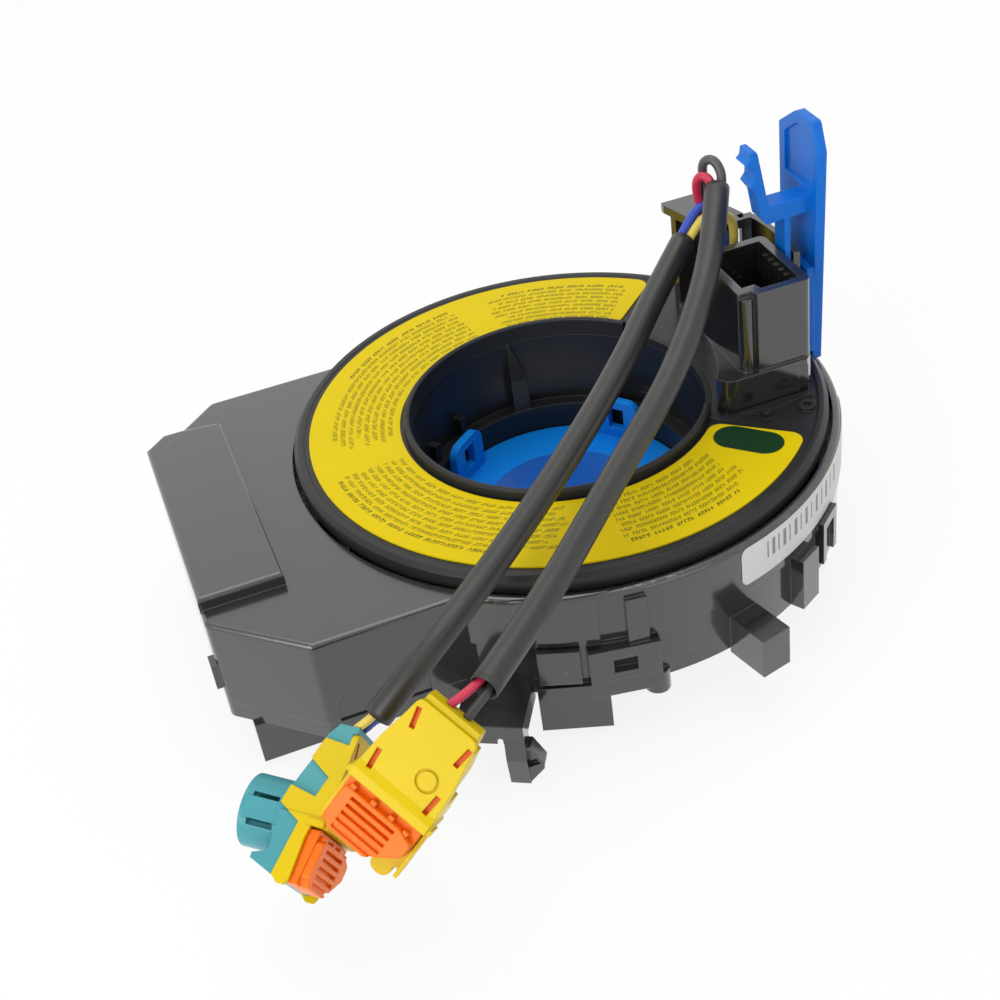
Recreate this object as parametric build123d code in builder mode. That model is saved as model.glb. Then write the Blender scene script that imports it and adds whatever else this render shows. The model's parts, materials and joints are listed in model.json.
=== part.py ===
from build123d import *
from math import cos, pi, radians, sin, tan
import os

os.makedirs("parts", exist_ok=True)

# Steering clock spring. Millimetres, +Z up along the steering axis.
# The origin is on the bore axis at the underside of the drum, the deck points to -X
# and the connector tower stands on the +X side.

# Heights
case_top = 20.6
seam_height = 3.2
band_bottom = 10.5
sticker_bottom = 12.3
sticker_height = 7.6
pad_top = 23.0
label_top = 23.5
ledge_height = 7.25
flange_top = 2.0
foot_plane = -10.0
boss_bottom = -0.6
tab_bottom = -7.7
lug_bottom = -1.2

# Drum and deck
drum_radius = 50.5
band_step = 0.5
drum_wall = 1.4
roof_wall = 1.8
floor_wall = 1.8
deck_wall = 1.8
deck_length = 72.0
deck_half_width = 39.0
deck_corner_x = 57.5
deck_corner_y = 25.5
deck_corner_round = 2.0
edge_round = 0.9
pad_front = 57.3
pad_inset = 3.5
pad_cut = 1.2
leg_turn = -120.3
leg_reach = 61.5

# Rotor
rotor_gap = 0.7
rotor_thickness = 3.2
label_thickness = 0.3
label_outer_radius = 45.5
label_inner_radius = 28.8
label_start = 44.0
label_sweep = 275.0
bore_radius = 26.9
hub_wall = 1.9
ledge_radius = 24.3
running_gap = 0.3
lip_width = 1.1
lip_rise = 2.0
lip_depth = 1.5

# Retaining sleeve
sleeve_bore_radius = 15.3
sleeve_wall = 1.6
sleeve_depth = 10.5
keeper_width = 2.2
tab_radius = 22.6
tab_width = 9.5
tab_top = 10.6
tab_thickness = 1.6
tab_angle = 40.0

# Connector tower
tower_left = 29.1
tower_right = 42.3
tower_front = -17.5
tower_back = 0.4
tower_top = 45.5
tower_wall = 1.6
tower_floor = 30.0
tower_key = 1.7
shelf_left = 24.5
shelf_front = -18.2
rib_width = 0.8

# Roof post and curved wall behind the tower
post_front = 7.6
post_back = 21.6
post_left = 32.0
post_radius = 44.2
post_wall = 1.5
roof_thickness = 1.7
screen_radius = 45.0
screen_wall = 1.2
screen_start = -9.0
screen_end = 12.0
screen_top = 44.8
gland_height = 6.0

# Lock clip
clip_plate = 1.8
clip_gap = 0.35
clip_inner = 48.0
clip_low = -9.2
clip_high = 4.5
clip_top = 68.5
clip_centre = -4.7
clip_arm_width = 3.8
clip_bridge = 51.8
clip_bridge_height = 3.2
clip_arm_x = 40.0
clip_arm_top = 65.7
clip_arm_lean = 1.9

# Leads and plugs
lead_diameter = 4.5
wire_diameter = 1.8
plug_length = 24.0
plug_width = 14.2
plug_neck_width = 10.2
plug_height = 7.6
nose_diameter = 11.0
nose_length = 10.4
nose_centre = 13.5

# Derived sizes
rotor_radius = drum_radius - drum_wall - rotor_gap
opening_radius = drum_radius - drum_wall
rotor_bottom = label_top - rotor_thickness
disc_face = label_top - label_thickness
hub_radius = bore_radius + hub_wall
hub_bottom = -running_gap
floor_hole_radius = hub_radius + running_gap
clip_bottom = case_top + 0.5
chamfer_slope = (deck_length - deck_corner_x) / (deck_half_width - deck_corner_y)


def polar(angle, height=0.0):
    """Plane whose x axis points outward at an angle, at a height."""
    outward = (cos(radians(angle)), sin(radians(angle)), 0)
    return Plane(origin=(0, 0, height), x_dir=outward, z_dir=(0, 0, 1))


def lead_radii(points):
    """Largest arcs that each corner's two runs allow."""
    spots = [Vector(*p) for p in points]
    radii = []
    for before, here, after in zip(spots, spots[1:], spots[2:]):
        turn = (here - before).get_angle(after - here)
        run = min((here - before).length, (after - here).length)
        radii.append(0.45 * run / tan(radians(turn) / 2))
    return radii


def lead(points, diameter):
    """Round lead along straight runs joined by tangent arcs."""
    radii = lead_radii(points)
    with BuildPart() as tube:
        with BuildLine() as route:
            path = FilletPolyline(*points, radius=radii)
        with BuildSketch(Plane(origin=points[0], z_dir=Vector(*points[1]) - Vector(*points[0]))):
            Circle(diameter / 2)
        sweep(path=path)
    spread = tube.part.volume / (pi * diameter ** 2 / 4 * path.length)
    print("radii", [round(r, 1) for r in radii], "length", round(path.length, 1),
          "volume ratio", round(spread, 4))
    return tube


# Outline shared by the upper case and the lower cover
with BuildSketch() as deck_plan:
    with BuildLine():
        Polyline(
            (0, -deck_half_width),
            (-deck_corner_x, -deck_half_width),
            (-deck_length, -deck_corner_y),
            (-deck_length, deck_corner_y),
            (-deck_corner_x, deck_half_width),
            (0, deck_half_width),
            close=True,
        )
    make_face()
    corners = deck_plan.vertices().filter_by(lambda v: v.X < -1)
    fillet(corners, radius=deck_corner_round)

with BuildSketch() as deck_inside:
    add(deck_plan.sketch)
    offset(amount=-deck_wall)
    Circle(drum_radius, mode=Mode.SUBTRACT)
    split(bisect_by=Plane.YZ.offset(-drum_radius * 0.3), keep=Keep.BOTTOM)

# Upper case: drum band, deck, pad and the side features above the seam
with BuildPart() as upper_case:
    with BuildSketch(Plane.XY.offset(seam_height)):
        Circle(drum_radius - band_step)
        add(deck_plan.sketch)
    extrude(amount=case_top - seam_height)
    with BuildSketch(Plane.XY.offset(band_bottom)):
        Circle(drum_radius)
    extrude(amount=case_top - band_bottom)
    fillet(upper_case.edges().group_by(Axis.Z)[-1], radius=edge_round)
    with BuildSketch(Plane.XY.offset(case_top - roof_wall / 2)):
        with BuildLine():
            Polyline(
                (-deck_length, -deck_corner_y + pad_inset),
                (-pad_front, -deck_corner_y + pad_inset),
                (-pad_front, deck_corner_y + pad_inset - pad_cut),
                (-pad_front - 6.2 * pad_cut, deck_corner_y + pad_inset),
                (-deck_length + pad_inset * chamfer_slope, deck_corner_y + pad_inset),
                (-deck_length, deck_corner_y),
                close=True,
            )
        make_face()
    extrude(amount=pad_top - case_top + roof_wall / 2)
    fillet(upper_case.edges().group_by(Axis.Z)[-1], radius=edge_round)
    with BuildSketch(Plane.XY.offset(seam_height)):
        add(deck_inside.sketch)
    extrude(amount=case_top - roof_wall - seam_height, mode=Mode.SUBTRACT)
    with BuildSketch(Plane.XY.offset(seam_height)):
        Circle(opening_radius)
    extrude(amount=case_top, mode=Mode.SUBTRACT)
    # Window through the drum wall for the end of the flat cable
    with BuildSketch(polar(180, seam_height)):
        with Locations((opening_radius, 0)):
            Rectangle(6, 14)
    extrude(amount=12, mode=Mode.SUBTRACT)
    # Snap tab on the end wall
    with BuildSketch(Plane.XY.offset(6.5)):
        with Locations((-deck_length, -deck_corner_y + 1.5)):
            Rectangle(2, 3)
    extrude(amount=5)
    # Recessed panels with rounded upper corners on the front and back walls
    for wall in (-1, 1):
        with BuildSketch(Plane.XZ.offset(-wall * (deck_half_width - 0.4))):
            with Locations((-47.8, seam_height + 1.6)):
                RectangleRounded(15.8, 7.4, 1.2)
        extrude(amount=-wall * 2, mode=Mode.SUBTRACT)
    # Ribs inside the deck between the end wall and the drum
    with BuildSketch(Plane.XY.offset(seam_height + 6)):
        with Locations((-deck_length + 11.3, 12), (-deck_length + 11.3, -12)):
            Rectangle(20.6, 1.4)
    extrude(amount=case_top - roof_wall - seam_height - 6)
    # Gap in the band, overlapping tab, block, latch box, lug, rib and bracket round the drum
    with BuildSketch(polar(-102.5, band_bottom)):
        with Locations((drum_radius, 0)):
            Rectangle(1.2, 4.4)
    extrude(amount=8.5, mode=Mode.SUBTRACT)
    with BuildSketch(polar(-98, 7)):
        with Locations((drum_radius, 0)):
            Rectangle(1.6, 3.5)
    extrude(amount=12)
    with BuildSketch(polar(-113, seam_height)):
        with Locations((drum_radius, 0)):
            Rectangle(2.4, 7)
    extrude(amount=7)
    with BuildSketch(polar(-101, seam_height)):
        with Locations((drum_radius, 0)):
            Rectangle(3, 12)
    extrude(amount=6.6)
    with BuildSketch(polar(-101, seam_height + 1.6)):
        with Locations((drum_radius + 1.3, 0)):
            Rectangle(2.6, 4)
    extrude(amount=3, mode=Mode.SUBTRACT)
    with BuildSketch(polar(-75.5, seam_height)):
        with Locations((drum_radius + 3.4, 0)):
            Rectangle(8.4, 5.7)
    extrude(amount=3.4)
    with BuildSketch(polar(-59, seam_height)):
        with Locations((drum_radius, 0)):
            Rectangle(4, 5)
    extrude(amount=7.3)
    with BuildSketch(polar(-48.5, seam_height)):
        with Locations((drum_radius, 0)):
            Rectangle(2.2, 6.4)
    extrude(amount=8.8)
    with BuildSketch(polar(-48.5, seam_height)):
        with Locations((drum_radius + 1.1, 0)):
            Rectangle(1.6, 3.6)
    extrude(amount=7, mode=Mode.SUBTRACT)
    # The same snap features on the far side, out of sight
    with BuildSketch(polar(75.5, seam_height), polar(115, seam_height)):
        with Locations((drum_radius, 0)):
            Rectangle(4, 6)
    extrude(amount=7)

# Lower cover: floor ring, latch parts and hook legs
with BuildPart() as lower_cover:
    with BuildSketch():
        Circle(drum_radius - band_step)
        add(deck_plan.sketch)
    extrude(amount=seam_height)
    with BuildSketch(Plane.XY.offset(floor_wall)):
        Circle(opening_radius)
        add(deck_inside.sketch)
    extrude(amount=seam_height, mode=Mode.SUBTRACT)
    Cylinder(floor_hole_radius, 4 * seam_height, mode=Mode.SUBTRACT)
    # Lug, rib, latch and wide tab under the drum
    with BuildSketch(polar(-75.5, lug_bottom)):
        with Locations((drum_radius + 3.4, 0)):
            Rectangle(8.4, 5.7)
    extrude(amount=seam_height - lug_bottom)
    with BuildSketch(polar(-59)):
        with Locations((drum_radius, 0)):
            Rectangle(4, 5)
    extrude(amount=seam_height)
    with BuildSketch(polar(-101)):
        with Locations((drum_radius, 0)):
            Rectangle(3, 12)
    extrude(amount=seam_height)
    with BuildSketch(polar(-111, tab_bottom)):
        with Locations((drum_radius - 0.4, 0)):
            Rectangle(1.8, 12)
    extrude(amount=floor_wall - tab_bottom)
    with BuildSketch(polar(-94.6, -2.5)):
        with Locations((drum_radius - 1.2, 0)):
            Circle(2.2)
    extrude(amount=2.5 + floor_wall)
    # Hook legs: a boss that carries the stem, the slotted stem, and the barb at its side with a recess
    for leg_angle, side in ((leg_turn, 1), (-leg_turn, -1), (19.0, 1)):
        root = polar(leg_angle)
        with BuildSketch(root.offset(boss_bottom)) as boss:
            with Locations(((drum_radius - 4.1 + leg_reach) / 2, -3.9 * side)):
                Rectangle(leg_reach - drum_radius + 4.1, 11.2)
            outer = boss.vertices().sort_by_distance(Vector(drum_radius, 1.7 * side, 0))[-1:]
            fillet(outer, radius=3.4)
        extrude(amount=seam_height - boss_bottom)
        with BuildSketch(root * Plane.XZ.offset(-1.7)):
            with BuildLine():
                Polyline(
                    (leg_reach - 3.2, boss_bottom + 1),
                    (leg_reach, boss_bottom + 1),
                    (leg_reach + 0.3, boss_bottom - 3.6),
                    (leg_reach - 0.4, foot_plane),
                    (leg_reach - 2.2, foot_plane),
                    (leg_reach - 3.2, boss_bottom - 3.4),
                    close=True,
                )
            make_face()
        extrude(amount=3.4)
        with BuildSketch(root * Plane.YZ.offset(leg_reach - 3.0)):
            with BuildLine():
                Polyline(
                    (1.2 * side, -1.6),
                    (2.4 * side, -1.6),
                    (4.4 * side, -5.2),
                    (4.3 * side, -6.2),
                    (1.4 * side, foot_plane),
                    (0.6 * side, foot_plane),
                    (0.6 * side, -1.6),
                    close=True,
                )
            make_face()
        extrude(amount=2.6)
        with BuildSketch(root * Plane.YZ.offset(leg_reach - 1.2)):
            with BuildLine():
                Polyline(
                    (1.7 * side, -2.2),
                    (2.2 * side, -2.2),
                    (3.8 * side, -5.2),
                    (1.7 * side, -6.2),
                    close=True,
                )
            make_face()
        extrude(amount=3, mode=Mode.SUBTRACT)
        # Slot between the stem and the boss
        with BuildSketch(root * Plane.YZ.offset(leg_reach - 2.6)):
            with Locations((-2.3 * side, boss_bottom - 0.6)):
                SlotOverall(3.6, 1.0, rotation=90)
        extrude(amount=4, mode=Mode.SUBTRACT)

# Column socket under the deck, open downward
socket_left = -69.0
socket_right = -43.0
socket_front = -30.0
socket_back = -14.0
socket_bottom = -8.5
socket_wall = 1.5
with BuildPart() as column_socket:
    socket_x = (socket_left + socket_right) / 2
    socket_y = (socket_front + socket_back) / 2
    with BuildSketch(Plane.XY.offset(socket_bottom)):
        with Locations((socket_x, socket_y)):
            Rectangle(socket_right - socket_left, socket_back - socket_front)
    extrude(amount=-socket_bottom)
    with BuildSketch(Plane.XY.offset(socket_bottom)):
        with Locations((socket_x, socket_y)):
            Rectangle(
                socket_right - socket_left - 2 * socket_wall,
                socket_back - socket_front - 2 * socket_wall,
            )
    extrude(amount=-socket_bottom - socket_wall, mode=Mode.SUBTRACT)

# Pin strips that stand in the column socket and in the tower
socket_roof = -socket_wall
with BuildPart() as column_pins:
    with BuildSketch(Plane.XY.offset(socket_roof - 1)):
        with Locations((socket_x, socket_y)):
            Rectangle(20, 8)
    extrude(amount=1)
    with BuildSketch(Plane.XY.offset(socket_roof - 5)):
        with Locations((socket_x, socket_y)):
            with GridLocations(3, 5, 6, 2):
                Rectangle(0.8, 0.8)
    extrude(amount=4.5)

# Rotor disc with its hub tube, turned in one profile
with BuildPart() as rotor_disc:
    with BuildSketch(Plane.XZ):
        with BuildLine():
            Polyline(
                (bore_radius, disc_face - lip_depth),
                (bore_radius + lip_width, disc_face - lip_depth),
                (bore_radius + lip_width, disc_face),
                (label_outer_radius + 0.9, disc_face),
                (label_outer_radius + 1.2, label_top),
                (rotor_radius - 0.8, label_top),
                (rotor_radius, label_top - 0.8),
                (rotor_radius, rotor_bottom),
                (hub_radius, rotor_bottom),
                (hub_radius, hub_bottom),
                (ledge_radius, hub_bottom),
                (ledge_radius, ledge_height),
                (bore_radius, ledge_height),
                close=True,
            )
        make_face()
    revolve(axis=Axis.Z)
    # Rib on the back of the bore wall with its pointed top
    with BuildSketch(polar(88, hub_bottom)):
        with Locations((bore_radius - 0.9, 0)):
            Rectangle(2.6, 3.4)
    extrude(amount=14.4 - hub_bottom)
    with BuildSketch(polar(88, 14.4)):
        with Locations((bore_radius - 0.9, 0)):
            Rectangle(2.6, 3.4)
    with BuildSketch(polar(90, 21.4)):
        with Locations((bore_radius + 0.1, 0)):
            Rectangle(0.6, 0.6)
    loft()
    # Hooks on the ledge beside the slotted tabs
    with BuildSketch(*[polar(tab_angle + 90 * k, ledge_height) for k in range(4)]):
        with Locations((bore_radius - 0.9, -tab_width / 2), (bore_radius - 0.9, tab_width / 2)):
            Rectangle(2.4, 1.6)
    extrude(amount=4.2)
    # Raised platform between the ring label and the tower, with a small post and a moulded hook
    with BuildSketch(Plane.XY.offset(disc_face)):
        with BuildLine():
            Polyline(
                (21.6, -17.6),
                (24.6, -20.4),
                (28.4, -19.4),
                (33.0, -20.6),
                (41.0, -20.0),
                (42.2, shelf_front - 0.3),
                (shelf_left - 0.3, shelf_front - 0.3),
                (shelf_left - 0.3, -15.4),
                close=True,
            )
        make_face()
    extrude(amount=0.5)
    with BuildSketch(Plane.XY.offset(disc_face)):
        with Locations((31.0, -21.8)):
            Rectangle(1.4, 1.2)
    extrude(amount=1.3)
    with BuildSketch(Plane.XY.offset(disc_face)):
        with Locations((38.6, -22.4)):
            Circle(1.6)
            Circle(0.8, mode=Mode.SUBTRACT)
    extrude(amount=0.6)
    # Flat on the rim behind the lock clip
    with BuildSketch(Plane.XY.offset(rotor_bottom)):
        with Locations((clip_inner - clip_gap + 5, (clip_low + clip_high) / 2)):
            Rectangle(10, clip_high - clip_low + 2 * clip_gap)
    extrude(amount=rotor_thickness + 1, mode=Mode.SUBTRACT)

# Separate lip that stands round the bore, open on the tower side
with BuildPart() as bore_lip:
    with BuildSketch(Plane.XZ):
        with BuildLine():
            Polyline(
                (bore_radius, disc_face - lip_depth),
                (bore_radius + lip_width, disc_face - lip_depth),
                (bore_radius + lip_width, disc_face + lip_rise - 0.4),
                (bore_radius + lip_width - 0.4, disc_face + lip_rise),
                (bore_radius + 0.3, disc_face + lip_rise),
                (bore_radius, disc_face + lip_rise - 0.3),
                close=True,
            )
        make_face()
    revolve(axis=Axis.Z)
    with BuildSketch(Plane.XY.offset(disc_face)):
        with BuildLine():
            Polyline((12, -10), (60, -33), (60, 46), (12, 11), close=True)
        make_face()
    extrude(amount=10, mode=Mode.SUBTRACT)

# Ring label: open ring with rounded corners
with BuildPart() as ring_label:
    with BuildSketch(Plane.XY.offset(disc_face)) as label_plan:
        with BuildLine():
            CenterArc((0, 0), label_outer_radius, label_start, label_sweep)
            CenterArc((0, 0), label_inner_radius, label_start, label_sweep)
            for turn in (label_start, label_start + label_sweep):
                Line(
                    (label_inner_radius * cos(radians(turn)), label_inner_radius * sin(radians(turn))),
                    (label_outer_radius * cos(radians(turn)), label_outer_radius * sin(radians(turn))),
                )
        make_face()
        fillet(label_plan.vertices(), radius=2.4)
    extrude(amount=label_thickness)

# Inner cable block beside the hub and outer cable block in the drum's window
spiral_start = hub_radius + 2.6
spiral_turns = 10
spiral_step = (opening_radius - 4.2 - spiral_start) / spiral_turns
ribbon = 0.3
with BuildPart() as cable_block_inner:
    with BuildSketch(polar(0, 4)):
        with Locations((hub_radius + 0.9, 0)):
            Rectangle(2.2, 9)
        Circle(hub_radius, mode=Mode.SUBTRACT)
    extrude(amount=rotor_bottom - 4)

with BuildPart() as cable_block_outer:
    with BuildSketch(polar(180, seam_height)):
        with Locations((opening_radius + 3, 0)):
            Rectangle(7, 13)
    extrude(amount=11.6)

# Flat cable wound in half turns between the two blocks
with BuildPart() as flat_cable:
    with BuildSketch(Plane.XY.offset(floor_wall + 1.5)):
        with BuildLine():
            for k in range(spiral_turns):
                centre = 0 if k % 2 == 0 else spiral_step
                radius = spiral_start + k * spiral_step
                CenterArc((centre, 0), radius, 180 * (k % 2), 180)
                CenterArc((centre, 0), radius + ribbon, 180 * (k % 2), 180)
            Line((spiral_start, 0), (spiral_start + ribbon, 0))
            last = spiral_start + (spiral_turns - 1) * spiral_step + spiral_step
            Line((last, 0), (last + ribbon, 0))
        make_face()
    extrude(amount=13)

# Side sticker on the drum band
with BuildPart() as side_sticker:
    with BuildSketch(Plane.XY.offset(sticker_bottom)):
        with BuildLine():
            CenterArc((0, 0), drum_radius + 0.15, -76, 56)
            CenterArc((0, 0), drum_radius, -76, 56)
            for turn in (-76, -20):
                Line(
                    (drum_radius * cos(radians(turn)), drum_radius * sin(radians(turn))),
                    ((drum_radius + 0.15) * cos(radians(turn)), (drum_radius + 0.15) * sin(radians(turn))),
                )
        make_face()
    extrude(amount=sticker_height)

# Connector tower: base, shelf and socket shroud with its key step
with BuildPart() as connector_tower:
    with BuildSketch(Plane.XY.offset(disc_face)) as tower_base:
        with BuildLine():
            Polyline(
                (shelf_left, shelf_front),
                (tower_right - 1.3, shelf_front),
                (tower_right, shelf_front + 1.3),
                (tower_right, tower_back),
                (shelf_left, tower_back),
                close=True,
            )
        make_face()
        fillet(tower_base.vertices().sort_by(Axis.X)[0:2].sort_by(Axis.Y)[0], radius=3)
        Circle(bore_radius + 2 * lip_width, mode=Mode.SUBTRACT)
    extrude(amount=tower_floor - disc_face)
    with BuildSketch(Plane.XY.offset(tower_floor - 1)) as shroud_plan:
        with BuildLine():
            Polyline(
                (tower_left, tower_front + tower_key),
                (tower_left + 2.4, tower_front + tower_key),
                (tower_left + 2.9, tower_front),
                (tower_right, tower_front),
                (tower_right, tower_back),
                (tower_left, tower_back),
                close=True,
            )
        make_face()
        fillet(shroud_plan.vertices().group_by(Axis.X)[-1], radius=1.2)
    extrude(amount=tower_top - tower_floor + 1)
    with BuildSketch(Plane.XY.offset(tower_floor)):
        with BuildLine():
            Polyline(
                (tower_left + tower_wall, tower_front + tower_key + tower_wall),
                (tower_left + 2.4 + tower_wall, tower_front + tower_key + tower_wall),
                (tower_left + 2.9 + tower_wall, tower_front + tower_wall),
                (tower_right - tower_wall, tower_front + tower_wall),
                (tower_right - tower_wall, tower_back - tower_wall),
                (tower_left + tower_wall, tower_back - tower_wall),
                close=True,
            )
        make_face()
    extrude(amount=tower_top, mode=Mode.SUBTRACT)
    # Round pillar beside the key step
    with BuildSketch(Plane.XY.offset(tower_floor - 1)):
        with Locations((tower_left + 1.6, tower_front + tower_key + 0.3)):
            Circle(1.5)
    extrude(amount=tower_top - tower_floor)
    # Row of ribs inside the outer wall
    with BuildSketch(Plane.XY.offset(tower_floor)):
        with Locations((tower_right - tower_wall - 0.1, (tower_front + tower_back) / 2)):
            with GridLocations(1, 2, 1, 6):
                Rectangle(rib_width, rib_width)
    extrude(amount=tower_top - tower_floor - 1.5)
    # Panel line on the shelf face
    with BuildSketch(Plane.XY.offset(disc_face)):
        with Locations((tower_right - 1.5, shelf_front)):
            Rectangle(2.4, 0.8)
    extrude(amount=tower_floor - disc_face - 1.2, mode=Mode.SUBTRACT)

with BuildPart() as tower_pins:
    pin_x = (tower_left + tower_right) / 2 + 0.6
    pin_y = (tower_front + tower_back) / 2
    with BuildSketch(Plane.XY.offset(tower_floor)):
        with Locations((pin_x, pin_y)):
            Rectangle(5, 12)
    extrude(amount=1)
    with BuildSketch(Plane.XY.offset(tower_floor + 0.5)):
        with Locations((pin_x, pin_y)):
            with GridLocations(3, 2, 2, 6):
                Rectangle(0.8, 0.8)
    extrude(amount=7.5)

# Roof post with the curved wall behind the tower
with BuildPart() as roof_post:
    with BuildSketch(Plane.XY.offset(tower_top - roof_thickness)) as roof_plan:
        with BuildLine():
            Polyline(
                (post_left, post_back),
                (post_left, post_back - 1),
                (post_left + 3.4, post_front),
                (60, post_front),
                (60, post_back),
                close=True,
            )
        make_face()
        Circle(post_radius, mode=Mode.INTERSECT)
    extrude(amount=roof_thickness)
    with BuildSketch(Plane.XY.offset(tower_top - roof_thickness)):
        with Locations((post_radius - 1.2, post_front + 1.4)):
            Rectangle(2.6, 1.4)
    extrude(amount=roof_thickness, mode=Mode.SUBTRACT)
    # Walls under the roof
    with BuildSketch(Plane.XY.offset(disc_face)):
        with BuildLine():
            Polyline(
                (post_left + 1.4, post_back - 0.9),
                (60, post_back - 0.9),
                (60, post_front + 3.4),
                (post_left + 3.6, post_front + 3.4),
                close=True,
            )
        make_face()
        Circle(post_radius - 0.9, mode=Mode.INTERSECT)
        with BuildLine():
            Polyline(
                (post_left - 5, post_back - 0.9 - post_wall),
                (post_radius - 6.2, post_back - 0.9 - post_wall),
                (post_radius - 4.4, post_front + 2),
                (post_left - 3, post_front + 2),
                close=True,
            )
        make_face(mode=Mode.SUBTRACT)
    extrude(amount=tower_top - roof_thickness - disc_face)
    # Gland block that the wires come out of
    with BuildSketch(Plane.XY.offset(disc_face)):
        with Locations((33.7, post_front - 1.1)):
            Rectangle(7.0, 10.6)
    extrude(amount=gland_height)
    # Curved wall
    with BuildSketch(Plane.XY.offset(disc_face)):
        Circle(screen_radius + screen_wall)
        Circle(screen_radius, mode=Mode.SUBTRACT)
        with BuildLine():
            Polyline(
                (0, 0),
                (60, 60 * tan(radians(screen_start))),
                (60, 60 * tan(radians(screen_end))),
                close=True,
            )
        make_face(mode=Mode.INTERSECT)
    extrude(amount=screen_top - disc_face)
    # Web that joins the curved wall to the post
    with BuildSketch(Plane.XY.offset(disc_face)):
        with Locations((post_radius - 0.4, post_front + 2)):
            Rectangle(2.4, 2)
    extrude(amount=screen_top - disc_face)

# Retaining sleeve: bore tube, flange, step and keeper flange under the floor
with BuildPart() as retaining_sleeve:
    with BuildSketch(Plane.XZ):
        with BuildLine():
            Polyline(
                (sleeve_bore_radius, flange_top),
                (ledge_radius - 0.25, flange_top),
                (ledge_radius - 0.25, hub_bottom),
                (floor_hole_radius + keeper_width, hub_bottom),
                (floor_hole_radius + keeper_width, hub_bottom - sleeve_wall),
                (ledge_radius - 0.25 - sleeve_wall, hub_bottom - sleeve_wall),
                (ledge_radius - 0.25 - sleeve_wall, flange_top - sleeve_wall),
                (sleeve_bore_radius + sleeve_wall, flange_top - sleeve_wall),
                (sleeve_bore_radius + sleeve_wall, flange_top - sleeve_depth),
                (sleeve_bore_radius, flange_top - sleeve_depth),
                close=True,
            )
        make_face()
    revolve(axis=Axis.Z)
    # Slotted tabs with rounded tops
    for k in range(4):
        face = polar(tab_angle + 90 * k) * Plane.YZ.offset(tab_radius - tab_thickness)
        with BuildSketch(face):
            with Locations((0, (tab_top + flange_top) / 2 - 1)):
                RectangleRounded(tab_width, tab_top - flange_top + 2, 2.6)
            with Locations((0, (tab_top + flange_top) / 2 + 0.2)):
                Rectangle(tab_width * 0.34, 4.6, mode=Mode.SUBTRACT)
        extrude(amount=tab_thickness)

# Lock clip: plate with chamfered head, column, bridge, barbed arm and leg
with BuildPart() as lock_clip:
    with BuildSketch(Plane.YZ.offset(clip_inner)):
        with BuildLine():
            Polyline(
                (clip_low + 2, clip_bottom),
                (clip_high - 0.8, clip_bottom),
                (clip_high, clip_bottom + 20),
                (clip_high, clip_top - 4),
                (-1.3, clip_top),
                (-7.2, clip_top),
                (clip_low, clip_top - 5),
                close=True,
            )
        make_face()
    extrude(amount=clip_plate)
    fillet(lock_clip.edges().filter_by(Axis.X), radius=0.8)
    with BuildSketch(Plane.YZ.offset(clip_inner)):
        with BuildLine():
            Polyline(
                (clip_low + 2.2, clip_bridge + clip_bridge_height + 1),
                (clip_high - 2, clip_bridge + clip_bridge_height + 1),
                (clip_high - 2, clip_top - 5),
                (-1.8, clip_top - 2),
                (-6.6, clip_top - 2),
                (clip_low + 2.2, clip_top - 5.6),
                close=True,
            )
        make_face()
    extrude(amount=0.5, mode=Mode.SUBTRACT)
    # Column toward the curved wall
    with BuildSketch(Plane.XY.offset(label_top + running_gap)):
        with Locations(((clip_inner + screen_radius + screen_wall) / 2 + running_gap / 2, -5.2)):
            Rectangle(clip_inner - screen_radius - screen_wall - running_gap, 5.6)
    extrude(amount=41.2 - label_top - running_gap)
    # Bridge and barbed arm
    with BuildSketch(Plane.XZ.offset(-clip_centre - clip_arm_width / 2)):
        with BuildLine():
            Polyline(
                (clip_inner + 0.5, clip_bridge),
                (clip_inner + 0.5, clip_bridge + clip_bridge_height),
                (clip_arm_x, clip_bridge + clip_bridge_height),
                (clip_arm_x - clip_arm_lean + 0.1, clip_arm_top - 0.6),
                (clip_arm_x - clip_arm_lean - 0.2, clip_arm_top),
                (clip_arm_x - clip_arm_lean - 1.3, clip_arm_top),
                (clip_arm_x - clip_arm_lean - 1.5, clip_arm_top - 1.4),
                (clip_arm_x - clip_arm_lean - 2.2, clip_arm_top - 2.1),
                (clip_arm_x - clip_arm_lean - 0.6, clip_arm_top - 3.8),
                (clip_arm_x - clip_arm_lean - 0.6, clip_arm_top - 5.0),
                (clip_arm_x - clip_arm_lean - 1.5, clip_arm_top - 6.2),
                (clip_arm_x - clip_arm_lean - 0.2, clip_arm_top - 8.1),
                (clip_arm_x - 1.3, clip_bridge + 0.9),
                (clip_arm_x - 0.3, clip_bridge - 0.3),
                close=True,
            )
        make_face()
    extrude(amount=clip_arm_width)
    # Leg that hangs between the tower and the curved wall
    with BuildSketch(Plane.XY.offset(40)):
        with Locations((tower_right + 1.3, clip_centre)):
            Rectangle(1.1, clip_arm_width)
    extrude(amount=clip_bridge - 40 + 1)

# Leads from the loops above the tower gap to the two plugs
lift = label_top
wire_foot = disc_face + gland_height
lead_a_points = [
    (29.2, 6.0, 22.0), (20.2, -1.9, 18.6), (9.7, -12.9, 15.4), (-2.6, -24.7, 12.6),
    (-17.0, -38.0, 10.4), (-31.0, -50.0, 8.6), (-43.4, -58.2, 5.4), (-50.9, -59.3, -0.8),
]
lead_b_points = [
    (35.6, 4.4, 31.5), (30.8, -3.8, 27.2), (25.1, -11.4, 23.2), (17.7, -20.3, 20.0),
    (9.1, -29.4, 17.2), (-1.5, -38.9, 15.0), (-13.2, -50.3, 13.4), (-26.6, -63.6, 12.1),
    (-39.1, -73.8, 10.4),
]
lead_a_points = [(x, y, z + lift) for x, y, z in lead_a_points]
lead_b_points = [(x, y, z + lift) for x, y, z in lead_b_points]
lead_a = lead(lead_a_points, lead_diameter)
lead_b = lead(lead_b_points, lead_diameter)


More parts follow.
